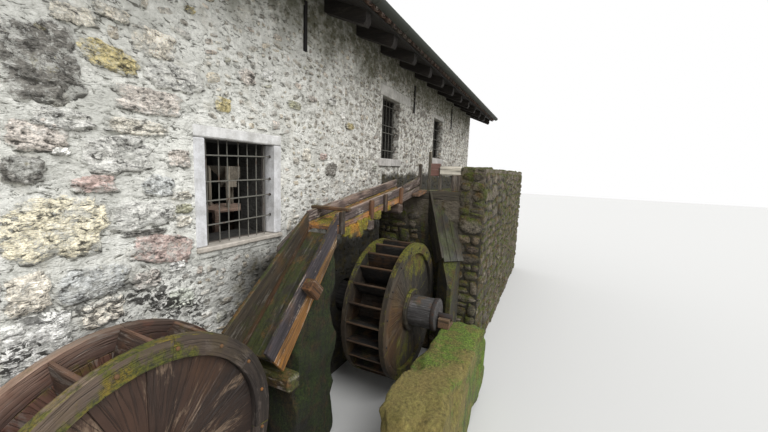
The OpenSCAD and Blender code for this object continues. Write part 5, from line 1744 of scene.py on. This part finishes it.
@dataclass
class WaterWheel:
    """Water wheel with board sides, elbow buckets, a board drum and its log shaft."""

    body: str
    axle: tuple[float, float]
    gap: float
    width: float
    buckets: int
    side: Finish
    rim_finish: Finish
    inner_finish: Finish
    bucket: Finish
    bolt: Finish
    patina: Callable[[float, float], tuple[float, ...]]
    seed: int
    depth_shade_tone: float
    lip_wear_and_highlight_tone: float
    inner_tone: float
    inner_rim: Colour
    rim_edge: Colour
    inner_face: Colour
    joint_turn: float = 0.3
    radius: float = 1.1
    rim: float = 0.17
    rim_t: float = 0.08
    side_t: float = 0.03
    side_boards: int = 16
    drum_r: float = 0.70
    shaft_r: float = 0.25
    shaft_in: float = 0.9
    shaft_out: float = 0.44
    gudgeon_r: float = 0.05
    gudgeon_l: float = 0.23
    band_t: float = 0.01
    bolt_r: float = 0.018

    def part(self, name: str, seed: int) -> Part:
        """Starts a piece of this wheel."""
        return Part(f"{self.body}_{name}", self.seed + seed)

    def done(self, part: Part, finish: Finish, node: str = "") -> None:
        """Makes a piece's object, which turns with the wheel."""
        part.done(finish, *([f"{self.body}_{node}"] if node else []), body=self.body)

    def hub(self, s: float, turn: float = 0.0) -> Matrix:
        """Matrix that puts a shape's z axis outwards along the axle, turned by an angle."""
        x, z = self.axle
        return axes(at(x, s, z), AHEAD, UP, OUT) @ Matrix.Rotation(turn, 4, "Z")

    def ring_grain(self, r: float) -> Callable[[Vector], Vector]:
        """Grain that runs round the wheel."""
        return lambda p: Vector((math.atan2(p.y, p.x) * r, math.hypot(p.x, p.y), p.z))

    def toned(self, turn: float, level: float, base: Colour,
              edge: Optional[Colour] = None) -> Tone:
        """Tone of a piece turned round the axle, from the wheel's patina.

        Args:
            turn: angle that it is turned by, in radians.
            level: how light it is.
            base: its own tone.
            edge: tone at the wheel's edge, or none for the same.

        Returns:
            A function that gives the tone at a point of the unturned piece.
        """

        def tone(p: Vector) -> tuple[float, ...]:
            """Tone at a point of the unturned piece."""
            reach = math.hypot(p.x, p.y) / self.radius
            worn = self.patina(math.degrees(turn + math.atan2(p.y, p.x)) % 360.0, reach)
            share = min(1.0, max(0.0, (reach - 0.994) / 0.005))
            own = Vector(base).lerp(Vector(edge or base), share)
            return (*(worn[k] * level * own[k] for k in range(3)), worn[3])

        return tone

    def felloes(self, part: Part, s: float, shift: float, base: Colour, edge: Colour) -> None:
        """Adds a rim of eight curved timbers, end to end.

        Args:
            part: piece that takes them.
            s: distance of the rim's inner face from the wall.
            shift: where the first timber starts, in radians.
            base: tone of their faces.
            edge: tone of the rim's outer surface.
        """
        step = WHOLE_TURN / 8
        for i in range(8):
            turn = shift + i * step
            shape = arc_shape(self.radius - self.rim, self.radius, 0.0, self.rim_t,
                              step - 0.0012, 7)
            soften(shape, 0.005)
            tone = self.toned(turn, part.rng.uniform(0.85, 1.1), base, edge)
            part.take(shape, self.hub(s, turn), tone, self.ring_grain(self.radius), smooth=False)

    def close_side(self, part: Part, s: float, low: float, level: float) -> None:
        """Adds the boards that close a side, fanning out from the shaft.

        Args:
            part: piece that takes them.
            s: distance of the side's inner face from the wall.
            low: where the boards start in the side's own thickness.
            level: how light they are.
        """
        step = WHOLE_TURN / self.side_boards
        tones = ((1.0, 0.97, 0.94), (0.86, 0.85, 0.86), (1.1, 1.0, 0.92), (0.82, 0.8, 0.8),
                 (1.04, 0.96, 0.9))
        for i in range(self.side_boards):
            high = low + self.side_t * part.rng.uniform(0.85, 1.0)
            shape = arc_shape(self.shaft_r + 0.002, self.radius - self.rim - 0.002, low, high,
                              step - 0.003, 3)
            soften(shape, 0.004)
            base = tuple(value * level for value in tones[i % len(tones)])
            part.take(shape, self.hub(s, i * step),
                      self.toned(i * step, part.rng.uniform(0.92, 1.08), base),
                      lambda p: Vector((math.hypot(p.x, p.y), math.atan2(p.y, p.x) * 0.6, p.z)),
                      smooth=False)

    def build_sides(self) -> None:
        """Builds the outer and inner sides."""
        outer_s = self.gap + self.width - self.rim_t
        rim = self.part("outer_rim", 7)
        self.felloes(rim, outer_s, self.joint_turn, PLAIN, self.rim_edge)
        self.done(rim, self.rim_finish)
        outer = self.part("outer_boards", 0)
        self.close_side(outer, outer_s, 0.0, 1.0)
        quarter = WHOLE_TURN / 4
        for i in range(4):
            shape = arc_shape(self.shaft_r, self.shaft_r + 0.09, 0.0, 0.06, quarter - 0.02, 6)
            soften(shape, 0.008)
            outer.take(shape, self.hub(outer_s + self.side_t, i * quarter + 0.4),
                       (0.9, 0.85, 0.78), self.ring_grain(0.3), smooth=False)
        self.done(outer, self.side, "outer_side")
        inner = self.part("inner_boards", 1)
        self.felloes(inner, self.gap, 0.7, self.inner_face, self.inner_rim)
        self.close_side(inner, self.gap, self.rim_t - self.side_t, self.inner_tone)
        self.done(inner, self.inner_finish, "inner_side")
        iron, size, r = self.part("bolts", 2), self.bolt_r, self.radius - self.rim / 2
        for i in range(16):
            angle = 0.2 + i * WHOLE_TURN / 16
            shape = bmesh.new()
            bmesh.ops.create_cone(shape, cap_ends=True, segments=6, radius1=size,
                                  radius2=size * 0.85, depth=size * 0.9)
            soften(shape, size * 0.15)
            centre = Vector((math.cos(angle) * r, math.sin(angle) * r, size * 0.35))
            iron.take(shape, self.hub(outer_s + self.rim_t) @ Matrix.Translation(centre)
                      @ Matrix.Rotation(angle * 3.1, 4, "Z"))
        self.done(iron, self.bolt)

    def build_buckets(self) -> None:
        """Builds the elbow buckets and the drum they stand on."""
        part, rise = self.part("buckets", 3), self.radius - self.drum_r
        inside, start = self.width - 2 * self.rim_t, self.gap + self.rim_t
        base = self.hub(start)
        elbow = self.drum_r + rise * 0.45
        along, thick = Vector((0, 0, inside)), Vector((0.028, 0, 0))
        run = Vector((0.06, self.radius - 0.008 - elbow, 0))
        foot, bend = Vector((0, self.drum_r, 0)), Vector((0, elbow, 0))
        for i in range(self.buckets):
            turn = base.to_3x3() @ Matrix.Rotation(i * WHOLE_TURN / self.buckets, 3, "Z")
            level = part.rng.uniform(0.75, 1.25)
            for corner, across, lift in (
                    (foot, bend - foot, 0.0), (bend, run * 0.9, 0.04 * self.lip_wear_and_highlight_tone),
                    (bend + run * 0.9, run * 0.1, self.lip_wear_and_highlight_tone * level)):
                # painted shade and highlight: boards deep in a bucket are painted dark, its lip
                # lighter from wear and painted highlight
                tone = [self.depth_shade_tone + lift * share for share in (1.0, 0.85, 0.68)]
                part.board(base.translation + turn @ corner, turn @ along, turn @ across,
                           turn @ thick, 3, 0.006, 0.003, tone)
        self.done(part, self.bucket, "bucket_boards")
        drum, count = self.part("drum_staves", 4), self.buckets * 2
        step = WHOLE_TURN / count
        for i in range(count):
            shape = arc_shape(self.drum_r - 0.032, self.drum_r, 0.0, inside, step - 0.005, 1)
            soften(shape, 0.003)
            level = drum.rng.uniform(0.6, 1.1)
            drum.take(shape, self.hub(start, i * step), (level, level * 0.96, level * 0.9),
                      lambda p: Vector((p.z, math.atan2(p.y, p.x) * 0.7, math.hypot(p.x, p.y))),
                      smooth=False)
        self.done(drum, self.bucket, "drum")

    def build_shaft(self) -> None:
        """Builds the log shaft, its iron bands and gudgeons."""
        part = self.part("log", 5)
        end = self.gap + self.width + self.shaft_out
        shape = bar_shape(self.shaft_r, self.shaft_in + end, 40, 26)
        for sign in (-1, 1):
            caps = [f for f in shape.faces if f.normal.z * sign > 0.9]
            bmesh.ops.inset_region(shape, faces=caps, thickness=0.06, depth=0.0)
        soften(shape, 0.012, 2)
        for vert in shape.verts:
            turn = math.atan2(vert.co.y, vert.co.x)
            spot = Vector((math.cos(turn) * 5, math.sin(turn) * 5, vert.co.z * 0.9))
            scale = 1.0 - abs(noise.noise(spot)) * 0.016 / self.shaft_r
            vert.co.x *= scale
            vert.co.y *= scale
        part.take(shape, self.hub((end - self.shaft_in) / 2), PLAIN, lambda p: p.zxy)
        self.done(part, Finish.LOG, "shaft")
        iron, length = self.part("irons", 6), self.gudgeon_l + 0.02
        for s in (-self.shaft_in + 0.01, self.gap - 0.08, end - 0.07):
            shape = arc_shape(self.shaft_r - 0.012, self.shaft_r + self.band_t, 0.0, 0.06,
                              WHOLE_TURN, 48)
            soften(shape, 0.003)
            iron.take(shape, self.hub(s))
        for s in (-self.shaft_in - self.gudgeon_l, end - 0.02):
            shape = bar_shape(self.gudgeon_r, length, 32)
            soften(shape, 0.004)
            iron.take(shape, self.hub(s + length / 2))
        self.done(iron, Finish.RUSTY_IRON, "bands")

    def build(self) -> None:
        """Builds the whole wheel."""
        self.build_sides()
        self.build_buckets()
        self.build_shaft()


def lobe(angle: float, centre: float, width: float) -> float:
    """Smooth bump round a circle, in degrees: one at its centre, nought a width away."""
    apart = abs((angle - centre + 180.0) % 360.0 - 180.0) / width
    return max(0.0, 1.0 - apart * apart) ** 2


def patina_1(angle: float, reach: float) -> tuple[float, ...]:
    """Tone and moss of the near wheel: moss on the rim's top, a worn edge, painted shade on the
    rim's right side, bare brown elsewhere.

    Args:
        angle: angle round the axle, in degrees.
        reach: distance from the axle, one at the wheel's edge.

    Returns:
        Three shares of the tone, and the moss.
    """
    on_rim = reach > 0.83
    outward = min(1.0, max(0.0, (reach - 0.85) / 0.15))
    moss = (lobe(angle, 86.0, 42.0) + 0.80 * lobe(angle, 136.0, 52.0)) * (1.0 - 0.70 * outward)
    moss *= on_rim
    pale = 1.0 + 1.5 * lobe(angle, 130.0, 70.0) * outward
    # painted shade: the rim is painted darker on its right side, away from the light
    pale *= 1.0 - 0.62 * lobe(angle, 15.0, 85.0) * on_rim
    green = pale * (1.0 - 0.06 * (1.0 - outward))
    return pale, green, pale, 1.0 + 0.17 * moss - 0.10 * (1.0 - moss)


def patina_2(angle: float, reach: float) -> tuple[float, ...]:
    """Tone and moss of the far wheel: moss on its top and foot, orange on the near side, painted
    shade on its right side.

    Args:
        angle: angle round the axle, in degrees.
        reach: distance from the axle, one at the wheel's edge.

    Returns:
        Three shares of the tone, and the moss.
    """
    outward = min(1.0, max(0.0, (reach - 0.9) / 0.1))
    orange = lobe(angle, 185.0, 75.0) * (0.3 + 0.7 * reach) * (1.0 - 0.7 * outward)
    moss = lobe(angle, 80.0, 66.0) * min(1.0, reach * 1.2) + lobe(angle, 250.0, 45.0) * 0.7
    # painted shade: the wheel is painted darker on its right side, away from the light
    dark = 1.0 - 0.35 * lobe(angle, 20.0, 90.0)
    tone = ((1.0 + share * orange) * dark for share in (1.9, 0.6, -0.3))
    return (*tone, 0.94 + 0.28 * moss)


@dataclass
class Stage:
    """Floor, light and camera."""

    eye: Vector = field(default_factory=lambda: Vector((-6.3, -5.66, 3.6)))
    yaw: float = math.radians(25.685)
    pitch: float = math.radians(-7.506)
    roll: float = math.radians(2.145)
    focal_px: float = 344.979
    frame_px: float = 768.0

    def camera(self) -> None:
        """Puts the camera where the photograph was taken from."""
        level = math.cos(self.pitch)
        ahead = Vector((math.cos(self.yaw) * level, math.sin(self.yaw) * level,
                        math.sin(self.pitch)))
        across = ahead.cross(UP).normalized()
        right, top = turned(across, across.cross(ahead), self.roll)
        data = bpy.data.cameras.new("camera")
        data.sensor_width = 36.0
        data.lens = data.sensor_width * self.focal_px / self.frame_px
        data.clip_end = 200.0
        camera = show("camera", data)
        camera.matrix_world = axes(self.eye, right, top, -ahead)
        bpy.context.scene.camera = camera

    def floor(self) -> None:
        """Builds the pale floor."""
        tree = Tree("stage_floor")
        camera, glossy, through = (tree.node("ShaderNodeLightPath", {}, {}, f"Is {ray} Ray")
                                   for ray in ("Camera", "Glossy", "Transmission"))
        seen = (camera + glossy + through).clamp()
        colour = tree.mix(seen, (0.40, 0.40, 0.38), (0.60, 0.60, 0.59))
        tree.plug(tree.shader.inputs["Base Color"], colour)
        tree.plug(tree.shader.inputs["Roughness"], 1.0)
        shape = bmesh.new()
        bmesh.ops.create_grid(shape, x_segments=1, y_segments=1, size=70.0)
        mesh = to_mesh(shape, "floor")
        mesh.materials.append(tree.material)
        floor = show("floor", mesh)

    def lamp(self, name: str, kind: str, energy: float, place: Vector, towards: Vector,
             **settings: float) -> None:
        """Adds a lamp.

        Args:
            name: its name.
            kind: its kind.
            energy: its strength.
            place: where it is.
            towards: the point it shines at.
            settings: its other settings.
        """
        data = bpy.data.lights.new(name, kind)
        data.energy = energy
        for key, value in settings.items():
            setattr(data, key, value)
        lamp = show(name, data)
        lamp.location = place
        lamp.rotation_euler = (place - towards).to_track_quat("Z", "Y").to_euler()

    def light(self) -> None:
        """Lights the scene with a plain sky and one soft lamp, and the room behind the window."""
        world = bpy.data.worlds.new("sky")
        world.use_nodes = True
        back = world.node_tree.nodes["Background"]
        back.inputs["Color"].default_value = (1.0, 1.0, 1.0, 1.0)
        back.inputs["Strength"].default_value = 1.0
        bpy.context.scene.world = world
        self.lamp("soft_lamp", "SUN", 2.0, Vector(), Vector((0.45, 0.75, -0.95)),
                  angle=math.radians(35.0))
        low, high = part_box("grain_hopper")
        self.lamp("room_lamp", "AREA", 5.0,
                  Vector((low.x - 0.5, WALL_LOW.y + 0.9, high.z + 0.3)), (low + high) / 2,
                  size=0.4, spread=math.radians(70.0))
        bpy.context.scene.view_settings.view_transform = "Standard"

    def build(self) -> None:
        """Builds the stage."""
        self.camera()
        self.floor()
        self.light()


@dataclass
class Fittings:
    """Floor, bench and hopper of the room, wall anchors, and the bearings of the wheels."""

    width: float = 0.26
    length: float = 0.18
    outer_s: tuple[float, float] = (1.29 + 0.03, 1.76 + 0.03)
    inner_s: float = -0.9 - 0.21

    def build(self) -> None:
        """Dresses the carried-over pieces and builds the bearings."""
        dress(Finish.FLOOR_BOARD, "mill_floor")
        dress(Finish.BENCH, "mill_bench")
        dress(Finish.HOPPER, "grain_hopper")
        dress(Finish.ANCHOR_IRON, "wall_anchors")
        part = Part("bearing_blocks", 91)
        ends = (*self.outer_s, self.inner_s, self.inner_s)
        for (x, z), s in zip((*AXLES, *AXLES), ends):
            left = x - self.width / 2
            part.board(at(left, s, z - 0.15), AHEAD * self.width, OUT * self.length, UP * 0.098,
                       3, 0.008, 0.003)
            for x0 in (left, x + 0.053):
                part.board(at(x0, s, z - 0.06), OUT * self.length, AHEAD * 0.077, UP * 0.06, 2,
                           0.006, 0.002)
        part.done(Finish.BEARING, "bearings")


def main() -> None:
    """Builds the mill in order."""
    logging.basicConfig(level=logging.INFO, format="%(message)s")
    noise.seed_set(NOISE_SEED)
    near = WaterWheel(
        "wheel_1", AXLES[0], 0.30, 0.55, 16, Finish.WHEEL_1, Finish.RIM_1, Finish.INNER_1,
        Finish.BUCKET_1, Finish.BOLT_IRON, patina_1, 200, depth_shade_tone=0.5, lip_wear_and_highlight_tone=0.8,
        inner_tone=1.1, inner_rim=(0.85, 1.05, 1.1), rim_edge=(1.3, 1.3, 1.25),
        inner_face=(0.66, 0.72, 0.76), joint_turn=0.62)
    far = WaterWheel(
        "wheel_2", AXLES[1], 0.63, 0.69, 24, Finish.WHEEL_2, Finish.WHEEL_2, Finish.WHEEL_2,
        Finish.BUCKET, Finish.RUSTY_IRON, patina_2, 300, depth_shade_tone=0.05, lip_wear_and_highlight_tone=2.4,
        inner_tone=0.35, inner_rim=(0.6, 0.62, 0.6), rim_edge=(0.6, 0.62, 0.6),
        inner_face=(0.45, 0.45, 0.45))
    for assembly in (Stage(), Masonry(), Windows(), BackDoor(), Fittings(), Roof(), Flume(),
                     near, far):
        assembly.build()


if __name__ == "__main__":
    main()
